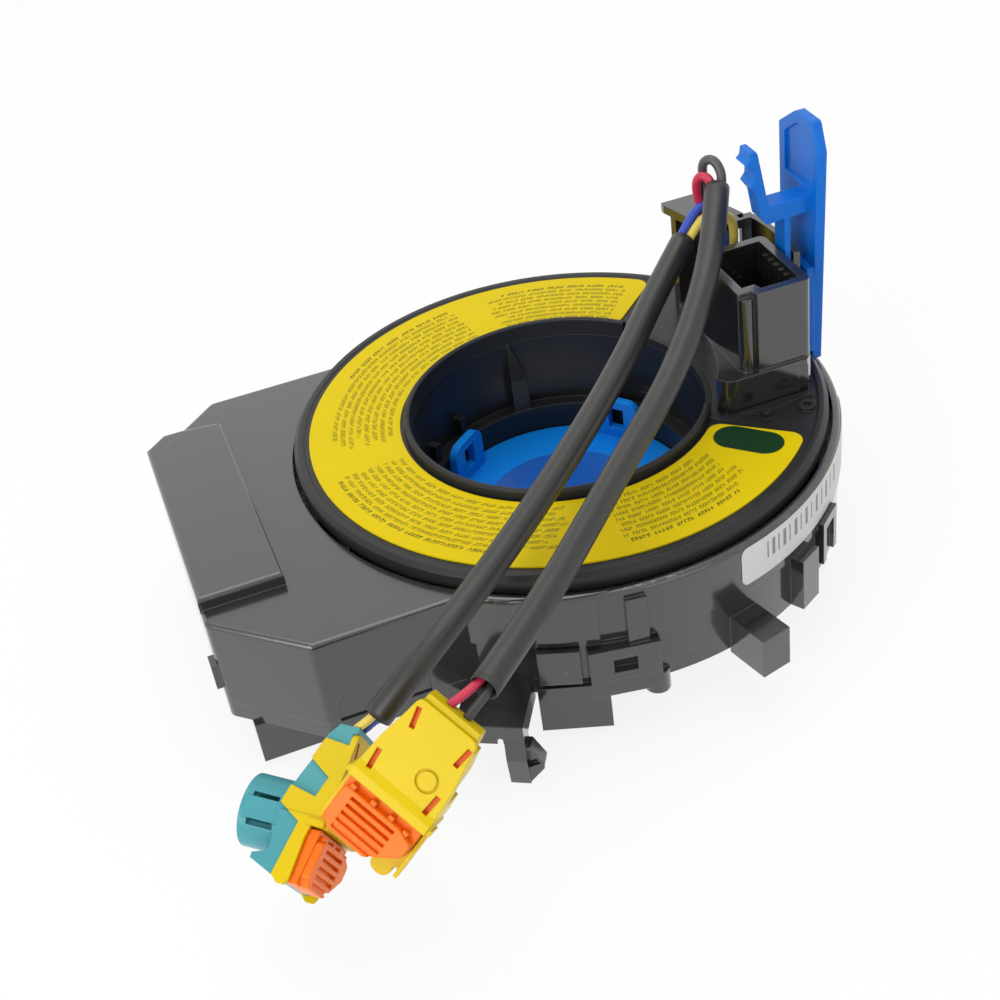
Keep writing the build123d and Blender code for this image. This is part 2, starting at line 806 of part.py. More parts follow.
def plug_plane(origin, along, cover):
    """Plug plane: x across, y from the wire end to the tip, z out of the cover."""
    along = Vector(*along).normalized()
    cover = Vector(*cover)
    cover = (cover - along * cover.dot(along)).normalized()
    return Plane(origin=origin, x_dir=along.cross(cover), z_dir=cover)


plug_a_plane = plug_plane((-57.4, -56.6, lift - 7.2), (-0.600, -0.662, -0.449), (0.763, -0.643, -0.070))
plug_b_plane = plug_plane((-43.6, -73.8, lift + 7.0), (-0.748, -0.090, -0.658), (-0.426, -0.695, 0.580))
cover_height = plug_height / 2
plug_skin = 0.6
flange_run = 14.8
lock_start = flange_run + 0.3
lock_end = plug_length - 0.8
lock_lift = 4.4
lock_gap = 0.15
grip_pitch = 1.25
arm_length = 23.7
base_split = -0.2
plug_end = -1.1


def plug_plan(margin, start):
    """Flared plan of a plug, narrowed by a margin on both sides."""
    right = [
        (plug_neck_width / 2 - margin, start),
        (plug_neck_width / 2 + 0.4 - margin, 2.9),
        (plug_width / 2 - 0.7 - margin, 8.0),
        (plug_width / 2 - 0.3 - margin, flange_run - 1.5),
        (plug_width / 2 - margin, flange_run - 1.3),
        (plug_width / 2 - margin, flange_run),
    ]
    return right + [(-x, y) for x, y in reversed(right)]


def plug_side(frame):
    """Plane of a plug's side view: x along the plug, y toward the cover."""
    return Plane(origin=frame.origin, x_dir=frame.y_dir, z_dir=frame.x_dir)


def plug_cover(frame):
    """Shell cover: flared roof with slots and a round mark, side walls with two windows, and two arms."""
    side = plug_side(frame)
    with BuildPart() as cover:
        with BuildSketch(frame.offset(-nose_length)) as plan:
            with BuildLine():
                Polyline(*plug_plan(0, 0), close=True)
            make_face()
            fillet(plan.vertices().sort_by(lambda v: (v.X ** 2 + v.Y ** 2))[0:2], radius=1.2)
        extrude(amount=nose_length + cover_height)
        # Room for the base
        with BuildSketch(frame.offset(-nose_length)):
            with BuildLine():
                Polyline(*plug_plan(plug_skin, -1.2), close=True)
            make_face()
        extrude(amount=nose_length + cover_height - 1.2, mode=Mode.SUBTRACT)
        # Side view with the windows that show the base
        with BuildSketch(side):
            with BuildLine():
                Polyline(
                    (-1, cover_height + 1),
                    (-1, 2.8),
                    (2.0, 2.8),
                    (1.6, -1.1),
                    (5.1, -2.0),
                    (7.4, 1.7),
                    (10.6, 0.8),
                    (9.7, -3.4),
                    (12.5, -4.0),
                    (flange_run, -0.1),
                    (flange_run, cover_height + 1),
                    close=True,
                )
            make_face()
        extrude(amount=plug_width, both=True, mode=Mode.INTERSECT)
        # Raised band with its ramp, and an ear at each end of the flange
        with BuildSketch(side):
            with BuildLine():
                Polyline(
                    (flange_run - 2.6, cover_height - 0.4),
                    (flange_run - 2.6, cover_height),
                    (flange_run - 1.4, cover_height + 0.6),
                    (flange_run, cover_height + 0.6),
                    (flange_run, cover_height - 0.4),
                    close=True,
                )
            make_face()
        extrude(amount=plug_width / 2 - 0.3, both=True)
        with BuildSketch(frame.offset(1.0)):
            with Locations((0, flange_run - 0.5)):
                Rectangle(plug_width + 0.7, 1.0)
        extrude(amount=cover_height - 1.0)
        # Arms beside the lock, each with an ear at its end
        for edge in (plug_width / 2 - plug_skin, -plug_width / 2):
            with BuildSketch(side.offset(edge)):
                with BuildLine():
                    Polyline(
                        (flange_run - 0.5, base_split),
                        (arm_length - 1.0, -1.7),
                        (arm_length, -0.6),
                        (arm_length, 0.6),
                        (arm_length - 0.8, 1.1),
                        (16.6, 1.4),
                        (flange_run - 0.5, 1.8),
                        close=True,
                    )
                make_face()
            extrude(amount=plug_skin)
        # Four slots and the round mark
        with BuildSketch(frame.offset(cover_height - 0.8)):
            with Locations(Location((3.95, 2.75, 0), 15), Location((-4.6, 3.0, 0), -6),
                           Location((5.15, 11.0, 0), 6), Location((-5.1, 11.0, 0), -4)):
                Rectangle(0.8, 3.2)
        extrude(amount=2, mode=Mode.SUBTRACT)
        with BuildSketch(frame.offset(cover_height - 0.3)):
            with Locations((-2.6, 8.7)):
                Circle(1.75)
                Circle(1.4, mode=Mode.SUBTRACT)
        extrude(amount=2, mode=Mode.SUBTRACT)
    return cover


def plug_base(frame, key_tab):
    """Wedge-shaped lower half with the foot and end tab, and the round nose with its latch window."""
    side = plug_side(frame)
    with BuildPart() as base:
        with BuildSketch(side):
            with BuildLine():
                Polyline(
                    (plug_end, 3.3),
                    (plug_end, 0.2),
                    (0.9, -1.1),
                    (5.1, -2.0),
                    (9.7, -3.4),
                    (12.5, -4.0),
                    (19.6, -3.5),
                    (20.4, -5.8),
                    (21.2, -5.8),
                    (22.8, -1.8),
                    (22.8, base_split),
                    (flange_run - 1.0, base_split),
                    (flange_run - 1.0, cover_height - 1.2),
                    (0, cover_height - 1.2),
                    (0, 3.3),
                    close=True,
                )
            make_face()
        extrude(amount=plug_width, both=True)
        with BuildSketch(frame.offset(-nose_length)):
            with BuildLine():
                Polyline(
                    *plug_plan(plug_skin, -1.2)[0:5],
                    (plug_width / 2 - plug_skin, plug_length),
                    (-plug_width / 2 + plug_skin, plug_length),
                    *plug_plan(plug_skin, -1.2)[7:],
                    close=True,
                )
            make_face()
        extrude(amount=2 * nose_length, mode=Mode.INTERSECT)
        # Rounded key tab at the tip
        if key_tab:
            with BuildSketch(frame.offset(base_split - 1.4)):
                with Locations((-4.2, 23.4)):
                    RectangleRounded(3.4, 3.6, 1.5)
            extrude(amount=1.4)
        with BuildSketch(frame.offset(-nose_length)):
            with Locations((0, nose_centre)):
                Circle(nose_diameter / 2)
        extrude(amount=nose_length - 3)
        # Hollow nose with two contact holes in its core
        with BuildSketch(frame.offset(-nose_length)):
            with Locations((0, nose_centre)):
                Circle(nose_diameter / 2 - 1)
                Circle(nose_diameter / 2 - 2.2, mode=Mode.SUBTRACT)
        extrude(amount=5, mode=Mode.SUBTRACT)
        with BuildSketch(frame.offset(-nose_length)):
            with Locations((-1.2, nose_centre), (1.2, nose_centre)):
                Circle(0.7)
        extrude(amount=5, mode=Mode.SUBTRACT)
        # Windows in the sides of the nose, each with a latch tongue in it
        with BuildSketch(frame.offset(-nose_length + 1.4)):
            with Locations((nose_diameter / 2, nose_centre + 0.6), (-nose_diameter / 2, nose_centre + 0.6)):
                Rectangle(3.0, 4.8)
        extrude(amount=4.2, mode=Mode.SUBTRACT)
        with BuildSketch(frame.offset(-nose_length + 0.6)):
            tongue = nose_diameter / 2 - 0.1
            with Locations((tongue, nose_centre + 0.6), (-tongue, nose_centre + 0.6)):
                Rectangle(0.8, 3.2)
        extrude(amount=6)
    return base


def plug_contacts(frame):
    """Two receptacle pins at the bottom of the contact holes."""
    with BuildPart() as contacts:
        with BuildSketch(frame.offset(-nose_length + 2)):
            with Locations((-1.2, nose_centre), (1.2, nose_centre)):
                Circle(0.6)
        extrude(amount=3)
    return contacts


def plug_lock(frame):
    """Lock block with a raised thumb pad, grip grooves across it and teeth along the pad's upper edge."""
    side = plug_side(frame)
    half = plug_width / 2 - plug_skin - lock_gap
    with BuildPart() as block:
        with BuildSketch(side):
            with BuildLine():
                Polyline(
                    (lock_start, base_split),
                    (lock_end - 0.4, base_split),
                    (lock_end, 0.4),
                    (lock_end, 2.2),
                    (lock_start, lock_lift - 1.1),
                    close=True,
                )
            make_face()
        extrude(amount=half, both=True)
        with BuildSketch(frame.offset(base_split)):
            with BuildLine():
                Polyline(
                    (-1.6, lock_end + 0.1),
                    (-half, lock_end - 3.7),
                    (-half - 1, lock_end + 0.1),
                    close=True,
                )
            make_face()
        extrude(amount=lock_lift, mode=Mode.SUBTRACT)
        with BuildSketch(frame.offset(2.0)) as pad:
            with BuildLine():
                Polyline(
                    (-half + 0.1, 17.4),
                    (-3.6, 16.4),
                    (half - 0.2, 16.4),
                    (half - 0.2, lock_end - 1.4),
                    (half - 1.6, lock_end),
                    (-1.8, lock_end),
                    (-half + 0.1, lock_end - 3.6),
                    close=True,
                )
            make_face()
            fillet(pad.vertices(), radius=0.8)
        extrude(amount=lock_lift - 2.0)
        # The pad's top falls toward the tip
        with BuildSketch(side):
            with BuildLine():
                Polyline(
                    (lock_start + 1, lock_lift),
                    (lock_end + 1, lock_lift - 0.9),
                    (lock_end + 1, lock_lift + 2),
                    (lock_start + 1, lock_lift + 2),
                    close=True,
                )
            make_face()
        extrude(amount=plug_width, both=True, mode=Mode.SUBTRACT)
        with BuildSketch(frame.offset(lock_lift - 1.1)):
            with Locations((0.5, 19.9)):
                with GridLocations(1, grip_pitch, 1, 5):
                    Rectangle(7.6, 0.6)
        extrude(amount=2, mode=Mode.SUBTRACT)
        with BuildSketch(frame.offset(2.0)):
            with Locations((-4.6, 16.5), (-1.8, 16.1), (1.4, 16.1), (5.0, 16.1)):
                Rectangle(0.9, 0.8)
        extrude(amount=lock_lift - 2.3)
    return block


plug_a_cover = plug_cover(plug_a_plane)
plug_a_base = plug_base(plug_a_plane, False)
plug_a_contacts = plug_contacts(plug_a_plane)
plug_a_lock = plug_lock(plug_a_plane)
plug_b_cover = plug_cover(plug_b_plane)
plug_b_base = plug_base(plug_b_plane, True)
plug_b_contacts = plug_contacts(plug_b_plane)
plug_b_lock = plug_lock(plug_b_plane)


def tail_points(points, frame, shift, entry, height):
    """Wire from the end face of a lead to the back of its plug."""
    ahead = (Vector(*points[-1]) - Vector(*points[-2])).normalized()
    across = frame.x_dir - ahead * ahead.dot(frame.x_dir)
    end = Plane(origin=points[-1], x_dir=across, z_dir=ahead)
    spots = [
        end.from_local_coords(Vector(shift, 0, 0)),
        end.from_local_coords(Vector(shift, 0, 1.5)),
        frame.from_local_coords(Vector(entry, plug_end - 1.5, height)),
        frame.from_local_coords(Vector(entry, plug_end, height)),
    ]
    return [tuple(p) for p in spots]


tails = {
    "tail_a_red": lead(tail_points(lead_a_points, plug_a_plane, 1.05, 3.4, 2.3), wire_diameter),
    "tail_a_black": lead(tail_points(lead_a_points, plug_a_plane, -1.05, 1.4, 2.3), wire_diameter),
    "tail_b_red": lead(tail_points(lead_b_points, plug_b_plane, 1.05, 1.5, 1.6), wire_diameter),
    "tail_b_black": lead(tail_points(lead_b_points, plug_b_plane, -1.05, -1.5, 1.6), wire_diameter),
}


def loop_points(points, side, rise):
    """Wire end laid out along the start of a lead."""
    back = (Vector(*points[0]) - Vector(*points[1])).normalized()
    across = Vector(0.8, -0.6, 0) - back * back.dot(Vector(0.8, -0.6, 0))
    first = Plane(origin=points[0], x_dir=across, z_dir=back)
    low = first.from_local_coords(Vector(side * 1.05, 0, 0))
    high = first.from_local_coords(Vector(side * 1.05, 0, rise))
    return [tuple(low), tuple(high)]


# Wires from the rotor up to the leads; grey and red loop over, blue and yellow bend down
wires = {
    "wire_grey": lead(
        loop_points(lead_b_points, 1, 2.6) + [(36.9, 7.6, 59.6), (35.2, 9.2, 59.0), (34.0, 9.8, 54.0),
                                              (33.7, 9.8, 44.0), (33.6, 9.6, wire_foot)], wire_diameter),
    "wire_red": lead(
        loop_points(lead_b_points, -1, 2.0) + [(34.0, 6.8, 57.4), (32.6, 8.2, 55.6), (31.8, 9.2, 50.0),
                                               (31.6, 9.4, 42.0), (31.5, 9.3, wire_foot)], wire_diameter),
    "wire_blue": lead(
        loop_points(lead_a_points, -1, 2.0) + [(31.4, 7.2, 48.8), (33.6, 5.8, 49.4), (35.3, 4.4, 47.0),
                                               (35.9, 3.3, 41.0), (36.0, 3.1, wire_foot)], wire_diameter),
    "wire_yellow": lead(
        loop_points(lead_a_points, 1, 2.0) + [(32.4, 4.4, 47.6), (33.1, 3.0, 45.8), (33.1, 2.7, 40.0),
                                              (33.0, 2.8, wire_foot)], wire_diameter),
}

for name, piece in {
    "upper_case": upper_case,
    "lower_cover": lower_cover,
    "column_socket": column_socket,
    "column_pins": column_pins,
    "cable_block_outer": cable_block_outer,
    "flat_cable": flat_cable,
    "side_sticker": side_sticker,
    "rotor_disc": rotor_disc,
    "bore_lip": bore_lip,
    "ring_label": ring_label,
    "cable_block_inner": cable_block_inner,
    "connector_tower": connector_tower,
    "tower_pins": tower_pins,
    "roof_post": roof_post,
    "retaining_sleeve": retaining_sleeve,
    "lock_clip": lock_clip,
    "lead_a": lead_a,
    "lead_b": lead_b,
    "plug_a_cover": plug_a_cover,
    "plug_a_base": plug_a_base,
    "plug_a_contacts": plug_a_contacts,
    "plug_a_lock": plug_a_lock,
    "plug_b_cover": plug_b_cover,
    "plug_b_base": plug_b_base,
    "plug_b_contacts": plug_b_contacts,
    "plug_b_lock": plug_b_lock,
    **tails,
    **wires,
}.items():
    piece.part.label = name
    export_step(piece.part, f"parts/{name}.step")
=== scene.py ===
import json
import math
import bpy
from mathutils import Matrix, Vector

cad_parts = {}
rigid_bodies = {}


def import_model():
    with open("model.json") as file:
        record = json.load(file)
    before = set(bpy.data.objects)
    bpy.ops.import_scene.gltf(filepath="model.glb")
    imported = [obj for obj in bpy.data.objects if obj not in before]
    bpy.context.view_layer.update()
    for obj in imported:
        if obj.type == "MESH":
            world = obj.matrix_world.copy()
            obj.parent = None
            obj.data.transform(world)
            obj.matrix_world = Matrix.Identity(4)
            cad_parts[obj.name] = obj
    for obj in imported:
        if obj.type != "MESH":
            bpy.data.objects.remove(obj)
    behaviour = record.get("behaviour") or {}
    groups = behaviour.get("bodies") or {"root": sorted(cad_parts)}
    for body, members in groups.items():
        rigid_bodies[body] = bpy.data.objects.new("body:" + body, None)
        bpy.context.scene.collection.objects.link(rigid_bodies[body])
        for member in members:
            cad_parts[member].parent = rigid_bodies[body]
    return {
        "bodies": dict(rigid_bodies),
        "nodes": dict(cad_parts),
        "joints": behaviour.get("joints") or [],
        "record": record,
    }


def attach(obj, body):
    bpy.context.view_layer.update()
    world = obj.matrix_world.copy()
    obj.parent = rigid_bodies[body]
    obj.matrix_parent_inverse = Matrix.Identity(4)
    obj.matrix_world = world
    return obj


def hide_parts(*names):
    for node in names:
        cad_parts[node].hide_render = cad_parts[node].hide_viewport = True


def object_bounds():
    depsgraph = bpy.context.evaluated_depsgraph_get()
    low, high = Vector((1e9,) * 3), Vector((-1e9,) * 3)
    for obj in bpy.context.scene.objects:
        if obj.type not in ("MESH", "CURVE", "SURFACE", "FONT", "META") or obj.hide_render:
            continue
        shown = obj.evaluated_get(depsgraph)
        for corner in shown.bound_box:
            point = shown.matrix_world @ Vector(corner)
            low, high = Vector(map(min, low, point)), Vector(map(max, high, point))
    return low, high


bl_info = {
    "name": "Steering Clock Spring",
    "version": (1, 0, 0),
    "blender": (4, 5, 0),
    "location": "View3D > Sidebar > Clock Spring",
    "description": "Dresses a packed steering clock spring in moulded plastic, label film and sleeved leads",
    "category": "Object",
}

import bmesh
import bpy
from bpy.props import FloatProperty, FloatVectorProperty, IntProperty, PointerProperty
from mathutils import Matrix, Vector

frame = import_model()
cad_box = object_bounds()

# Control points of the leads and wires, in metres.
# They are the routes of the part, with points moved to follow the photo.
LEAD_A_ROUTE = [
    (0.0292, 0.0060, 0.0455), (0.0202, -0.0019, 0.0421), (0.0097, -0.0129, 0.0389),
    (-0.0026, -0.0247, 0.0361), (-0.0170, -0.0380, 0.0339), (-0.0310, -0.0500, 0.0321),
    (-0.0434, -0.0582, 0.0289), (-0.0523, -0.0595, 0.0215),
]
LEAD_B_ROUTE = [
    (0.0356, 0.0044, 0.0550), (0.0308, -0.0038, 0.0507), (0.0251, -0.0114, 0.0467),
    (0.0177, -0.0203, 0.0435), (0.0091, -0.0294, 0.0407), (-0.0015, -0.0389, 0.0385),
    (-0.0132, -0.0503, 0.0369), (-0.0266, -0.0636, 0.0356), (-0.0391, -0.0738, 0.0339),
]
GREY_ROUTE = [
    (0.0349, 0.00162, 0.0538), (0.03628, 0.00398, 0.05503), (0.0371, 0.0054, 0.0573),
    (0.0364, 0.0072, 0.0593), (0.0350, 0.0086, 0.0586), (0.0350, 0.0090, 0.0555), (0.0356, 0.0080, 0.0500),
    (0.0360, 0.0066, 0.0455), (0.0362, 0.0062, 0.0400), (0.0360, 0.0060, 0.0292),
]
RED_ROUTE = [
    (0.03354, 0.00246, 0.05373), (0.03492, 0.00482, 0.05497), (0.0350, 0.0063, 0.0562),
    (0.0340, 0.0075, 0.0566), (0.0333, 0.0083, 0.0550), (0.0339, 0.0086, 0.0510), (0.0345, 0.0076, 0.0465),
    (0.0345, 0.0068, 0.0420), (0.0343, 0.0068, 0.0292),
]
BLUE_ROUTE = [
    (0.0265, 0.0047, 0.0447), (0.02866, 0.00659, 0.04554), (0.0332, 0.0078, 0.0506), (0.0355, 0.0074, 0.0504),
    (0.0367, 0.0058, 0.0478), (0.0370, 0.0044, 0.0420), (0.0362, 0.0044, 0.0292),
]
YELLOW_ROUTE = [
    (0.02757, 0.00351, 0.04464), (0.02974, 0.00541, 0.04546), (0.0335, 0.0060, 0.0494),
    (0.0360, 0.0046, 0.0498), (0.0384, 0.0044, 0.0482), (0.0385, 0.0042, 0.0440), (0.0370, 0.0034, 0.0360),
    (0.0362, 0.0024, 0.0292),
]
TAIL_A_YELLOW_ROUTE = [
    (-0.05042, -0.05952, 0.02398), (-0.05272, -0.05986, 0.02208), (-0.05581, -0.05866, 0.01966),
]
TAIL_A_BLUE_ROUTE = [
    (-0.04958, -0.05880, 0.02282), (-0.05188, -0.05914, 0.02092), (-0.05533, -0.05789, 0.01788),
]
TAIL_B_RED_ROUTE = [
    (-0.03727, -0.07139, 0.03459), (-0.03958, -0.07328, 0.03428), (-0.04422, -0.07374, 0.03287),
]
TAIL_B_BLACK_ROUTE = [
    (-0.03631, -0.07243, 0.03383), (-0.03862, -0.07432, 0.03352), (-0.04270, -0.07588, 0.03143),
]


# Place and directions of each plug: origin, across, along, out of the cover
PLUG_A_FRAME = ((-0.0574, -0.0566, 0.0163), (-0.24232, -0.38452, 0.89074), (-0.60005, -0.66205, -0.44903),
                (0.76238, -0.64330, -0.07030))
PLUG_B_FRAME = ((-0.0436, -0.0738, 0.0305), (-0.50914, 0.71362, 0.48117), (-0.74779, -0.08997, -0.65781),
                (-0.42614, -0.69473, 0.57945))


# Middle and turn in degrees of each slot in a cover, on the plug's own plane
COVER_SLOTS = ((0.00395, 0.00275, 15), (-0.0046, 0.0030, -6), (0.00515, 0.0110, 6), (-0.0051, 0.0110, -4))
# Half width, half length, and the heights between which the slots show orange
SLOT_HALF_WIDTH = 0.00044
SLOT_HALF_LENGTH = 0.00164
SLOT_LOW = 0.0028
SLOT_HIGH = 0.00375

# Side sticker: ends and bars in degrees round the drum, the rest in metres
STICKER_START = -76.0
STICKER_END = -20.0
STICKER_LOW = 0.0123
STICKER_HIGH = 0.0199
STICKER_CORNER = 0.0014
STICKER_THICKNESS = 0.00014
BARS_LOW = 0.0152
BARS_HIGH = 0.0187
STICKER_BARS = ((-68.2, -67.4), (-66.5, -66.1), (-65.0, -64.1), (-63.1, -62.7), (-61.4, -60.4),
                (-59.3, -58.9), (-57.5, -56.6), (-55.2, -54.8), (-53.2, -52.3), (-50.6, -50.1),
                (-48.4, -47.4), (-45.6, -45.1), (-43.0, -42.0))

# Ring label: start, end and heading end of each block of strokes, in degrees
LABEL_BLOCKS = ((-97.0, -57.0, -66.0), (-178.0, -107.0, -122.0), (98.0, 172.0, 138.0), (48.0, 91.0, 84.0))
# Oval on the ring label: turn in degrees, middle, half of its straight part and radius of its ends in metres
OVAL_TURN = 46.0
OVAL_MIDDLE = (0.0366, -0.0005)
OVAL_STRAIGHT = 0.0030
OVAL_RADIUS = 0.00325
OVAL_GREEN = (0.008, 0.040, 0.014, 1.0)

# Depth of the moulded grain, colours of dust and of the insulation
GRAIN_DEPTH = 0.00002
DUST_ON_PLASTIC = (0.42, 0.40, 0.36, 1.0)
DUST_ON_LABEL = (0.5, 0.42, 0.2, 1.0)
DUST_ON_WIRE = (0.45, 0.42, 0.38, 1.0)
WIRE_COLOURS = {
    "grey": (0.085, 0.085, 0.09),
    "red": (0.62, 0.025, 0.075),
    "blue": (0.035, 0.085, 0.52),
    "yellow": (0.80, 0.62, 0.10),
    "black": (0.028, 0.028, 0.028),
}

# Camera that took the photo, and the lamps: name, share of the lamp power, size and place in metres
CAMERA_PLACE = (-0.0750, -0.2324, 0.1883)
CAMERA_RIGHT = (0.933, -0.341, -0.119)
CAMERA_UP = (0.297, 0.538, 0.789)
LAMPS = (
    ("lamp_top", 0.80, 0.7, (0.0, 0.05, 0.75)),
    ("lamp_left", 0.95, 0.5, (-0.66, -0.45, 0.30)),
    ("lamp_back", 0.12, 0.9, (-0.20, 0.78, 0.52)),
    ("lamp_front", 0.15, 0.4, (0.25, -0.80, 0.35)),
)
LAMP_AIM = (0.0, -0.01, 0.02)
FLOOR_REACH = 3.0
WHITE = (1.0, 1.0, 1.0, 1.0)


# Settings that a user would change

class CaseSettings(bpy.types.PropertyGroup):
    colour: FloatVectorProperty(name="Plastic Colour", description="Colour of the black moulded case",
                                subtype="COLOR", size=3, min=0, max=1, default=(0.019, 0.019, 0.0195))
    roughness: FloatProperty(name="Roughness", description="Roughness of the case between its glossy patches",
                             min=0, max=1, default=0.24, subtype="FACTOR")
    edge_radius: FloatProperty(name="Edge Radius", description="Radius that the moulded edges show",
                               min=0, max=0.002, default=0.00035, subtype="DISTANCE", unit="LENGTH")
    sticker_radius: FloatProperty(name="Sticker Radius", description="Radius of the drum under the sticker",
                                  min=0.01, max=0.2, default=0.05052, subtype="DISTANCE", unit="LENGTH")
    dust: FloatProperty(name="Dust", description="How many pale specks lie on the surfaces that face up",
                        min=0, max=1, default=0.35, subtype="FACTOR")


class LabelSettings(bpy.types.PropertyGroup):
    film: FloatVectorProperty(name="Film Colour", description="Colour of the ring label",
                              subtype="COLOR", size=3, min=0, max=1, default=(0.80, 0.60, 0.003))
    ink: FloatVectorProperty(name="Ink Colour", description="Colour of the printed strokes",
                             subtype="COLOR", size=3, min=0, max=1, default=(0.035, 0.045, 0.010))
    rows: IntProperty(name="Rows", description="Rows of strokes across the ring label",
                      min=1, max=16, default=9)
    row_pitch: FloatProperty(name="Row Pitch", description="Distance between two rows of strokes",
                             min=0.0005, max=0.005, default=0.00145, subtype="DISTANCE", unit="LENGTH")
    inner_row: FloatProperty(name="Inner Row", description="Radius at which the rows begin",
                             min=0.01, max=0.06, default=0.0299, subtype="DISTANCE", unit="LENGTH")


class ClipSettings(bpy.types.PropertyGroup):
    clip_colour: FloatVectorProperty(name="Clip Colour", description="Colour of the lock clip",
                                     subtype="COLOR", size=3, min=0, max=1, default=(0.002, 0.17, 0.66))
    sleeve_colour: FloatVectorProperty(name="Sleeve Colour", description="Colour of the retaining sleeve",
                                       subtype="COLOR", size=3, min=0, max=1, default=(0.004, 0.27, 0.90))


class LeadSettings(bpy.types.PropertyGroup):
    tail_diameter: FloatProperty(name="Tail Diameter",
                                 description="Outside diameter of a wire between sleeve and plug",
                                 min=0.0005, max=0.004, default=0.00135, subtype="DISTANCE", unit="LENGTH")
    lead_diameter: FloatProperty(name="Lead Diameter", description="Outside diameter of a sleeved lead",
                                 min=0.001, max=0.01, default=0.0045, subtype="DISTANCE", unit="LENGTH")
    wire_diameter: FloatProperty(name="Wire Diameter", description="Outside diameter of a single wire",
                                 min=0.0005, max=0.004, default=0.0017, subtype="DISTANCE", unit="LENGTH")
    sleeve_wall: FloatProperty(name="Sleeve Wall", description="Wall thickness of the sleeving",
                               min=0.0001, max=0.001, default=0.0003, subtype="DISTANCE", unit="LENGTH")
    sleeve_colour: FloatVectorProperty(name="Sleeving Colour", description="Colour of the black sleeving",
                                       subtype="COLOR", size=3, min=0, max=1, default=(0.026, 0.025, 0.023))


class PlugSettings(bpy.types.PropertyGroup):
    yellow: FloatVectorProperty(name="Housing Yellow", description="Colour of the yellow housings",
                                subtype="COLOR", size=3, min=0, max=1, default=(0.77, 0.56, 0.002))
    teal: FloatVectorProperty(name="Housing Teal", description="Colour of the teal housing",
                              subtype="COLOR", size=3, min=0, max=1, default=(0.070, 0.35, 0.395))
    orange: FloatVectorProperty(name="Lock Orange", description="Colour of the plug locks",
                                subtype="COLOR", size=3, min=0, max=1, default=(1.0, 0.195, 0.003))


class StageSettings(bpy.types.PropertyGroup):
    floor_colour: FloatVectorProperty(name="Floor Colour", description="Colour of the plain floor",
                                      subtype="COLOR", size=3, min=0, max=1, default=(0.97, 0.97, 0.97))
    floor_glow: FloatProperty(name="Floor White", description="How much of the floor shows as plain white",
                              min=0, max=1, default=0.86, subtype="FACTOR")
    lamp_power: FloatProperty(name="Lamp Power", description="Power of the large soft lamp overhead",
                              min=0, max=100, default=3.3, subtype="POWER", unit="POWER")
    lens: FloatProperty(name="Lens", description="Focal length on a sensor 36 mm wide",
                        min=10, max=200, default=58.26, subtype="DISTANCE_CAMERA")


class ClockSpringSettings(bpy.types.PropertyGroup):
    case: PointerProperty(type=CaseSettings, name="Case", description="Sizes and colours of the case and rotor")
    label: PointerProperty(type=LabelSettings, name="Label", description="Sizes and colours of the labels")
    clip: PointerProperty(type=ClipSettings, name="Clip", description="Colours of the blue pieces")
    lead: PointerProperty(type=LeadSettings, name="Leads", description="Sizes and colours of the leads")
    plug: PointerProperty(type=PlugSettings, name="Plugs", description="Colours of the plugs")
    stage: PointerProperty(type=StageSettings, name="Stage", description="Floor, lamps and camera")


# Node building

class Wiring:
    """Adds nodes to one tree and joins them."""

    def __init__(self, tree):
        self.tree = tree

    def add(self, kind, inputs=None, **values):
        made = self.tree.nodes.new(kind)
        for name, value in values.items():
            setattr(made, name, value)
        for key, value in (inputs or {}).items():
            self.feed(made.inputs[key], value)
        return made

    def feed(self, socket, value):
        if isinstance(value, bpy.types.NodeSocket):
            self.tree.links.new(value, socket)
        elif isinstance(value, bpy.types.Node):
            self.tree.links.new(value.outputs[0], socket)
        else:
            socket.default_value = value

    def maths(self, operation, *values, clamp=False):
        made = self.tree.nodes.new("ShaderNodeMath")
        made.operation = operation
        made.use_clamp = clamp
        for socket, value in zip(made.inputs, values):
            self.feed(socket, value)
        return made.outputs[0]

    def blend(self, share, first, second):
        made = self.tree.nodes.new("ShaderNodeMix")
        made.data_type = "RGBA"
        self.feed(made.inputs["Factor"], share)
        self.feed(made.inputs["A"], first)
        self.feed(made.inputs["B"], second)
        return made.outputs["Result"]

    def band(self, value, low, high, soft):
        """1 where value lies between low and high, with soft edges."""
        rise = self.add("ShaderNodeMapRange", {"Value": value, "From Min": low - soft, "From Max": low + soft})
        fall = self.add("ShaderNodeMapRange", {"Value": value, "From Min": high - soft, "From Max": high + soft,
                                               "To Min": 1.0, "To Max": 0.0})
        return self.maths("MULTIPLY", rise.outputs[0], fall.outputs[0])


def new_group(name, inputs, outputs):
    """Empty shader node group with float, colour or vector sockets."""
    kinds = {"F": "NodeSocketFloat", "C": "NodeSocketColor", "V": "NodeSocketVector"}
    tree = bpy.data.node_groups.new(name, "ShaderNodeTree")
    for label, kind, value in inputs:
        socket = tree.interface.new_socket(label, in_out="INPUT", socket_type=kinds[kind])
        socket.default_value = value
    for label, kind in outputs:
        tree.interface.new_socket(label, in_out="OUTPUT", socket_type=kinds[kind])
    wiring = Wiring(tree)
    start = tree.nodes.new("NodeGroupInput")
    end = tree.nodes.new("NodeGroupOutput")
    return tree, wiring, start.outputs, end.inputs


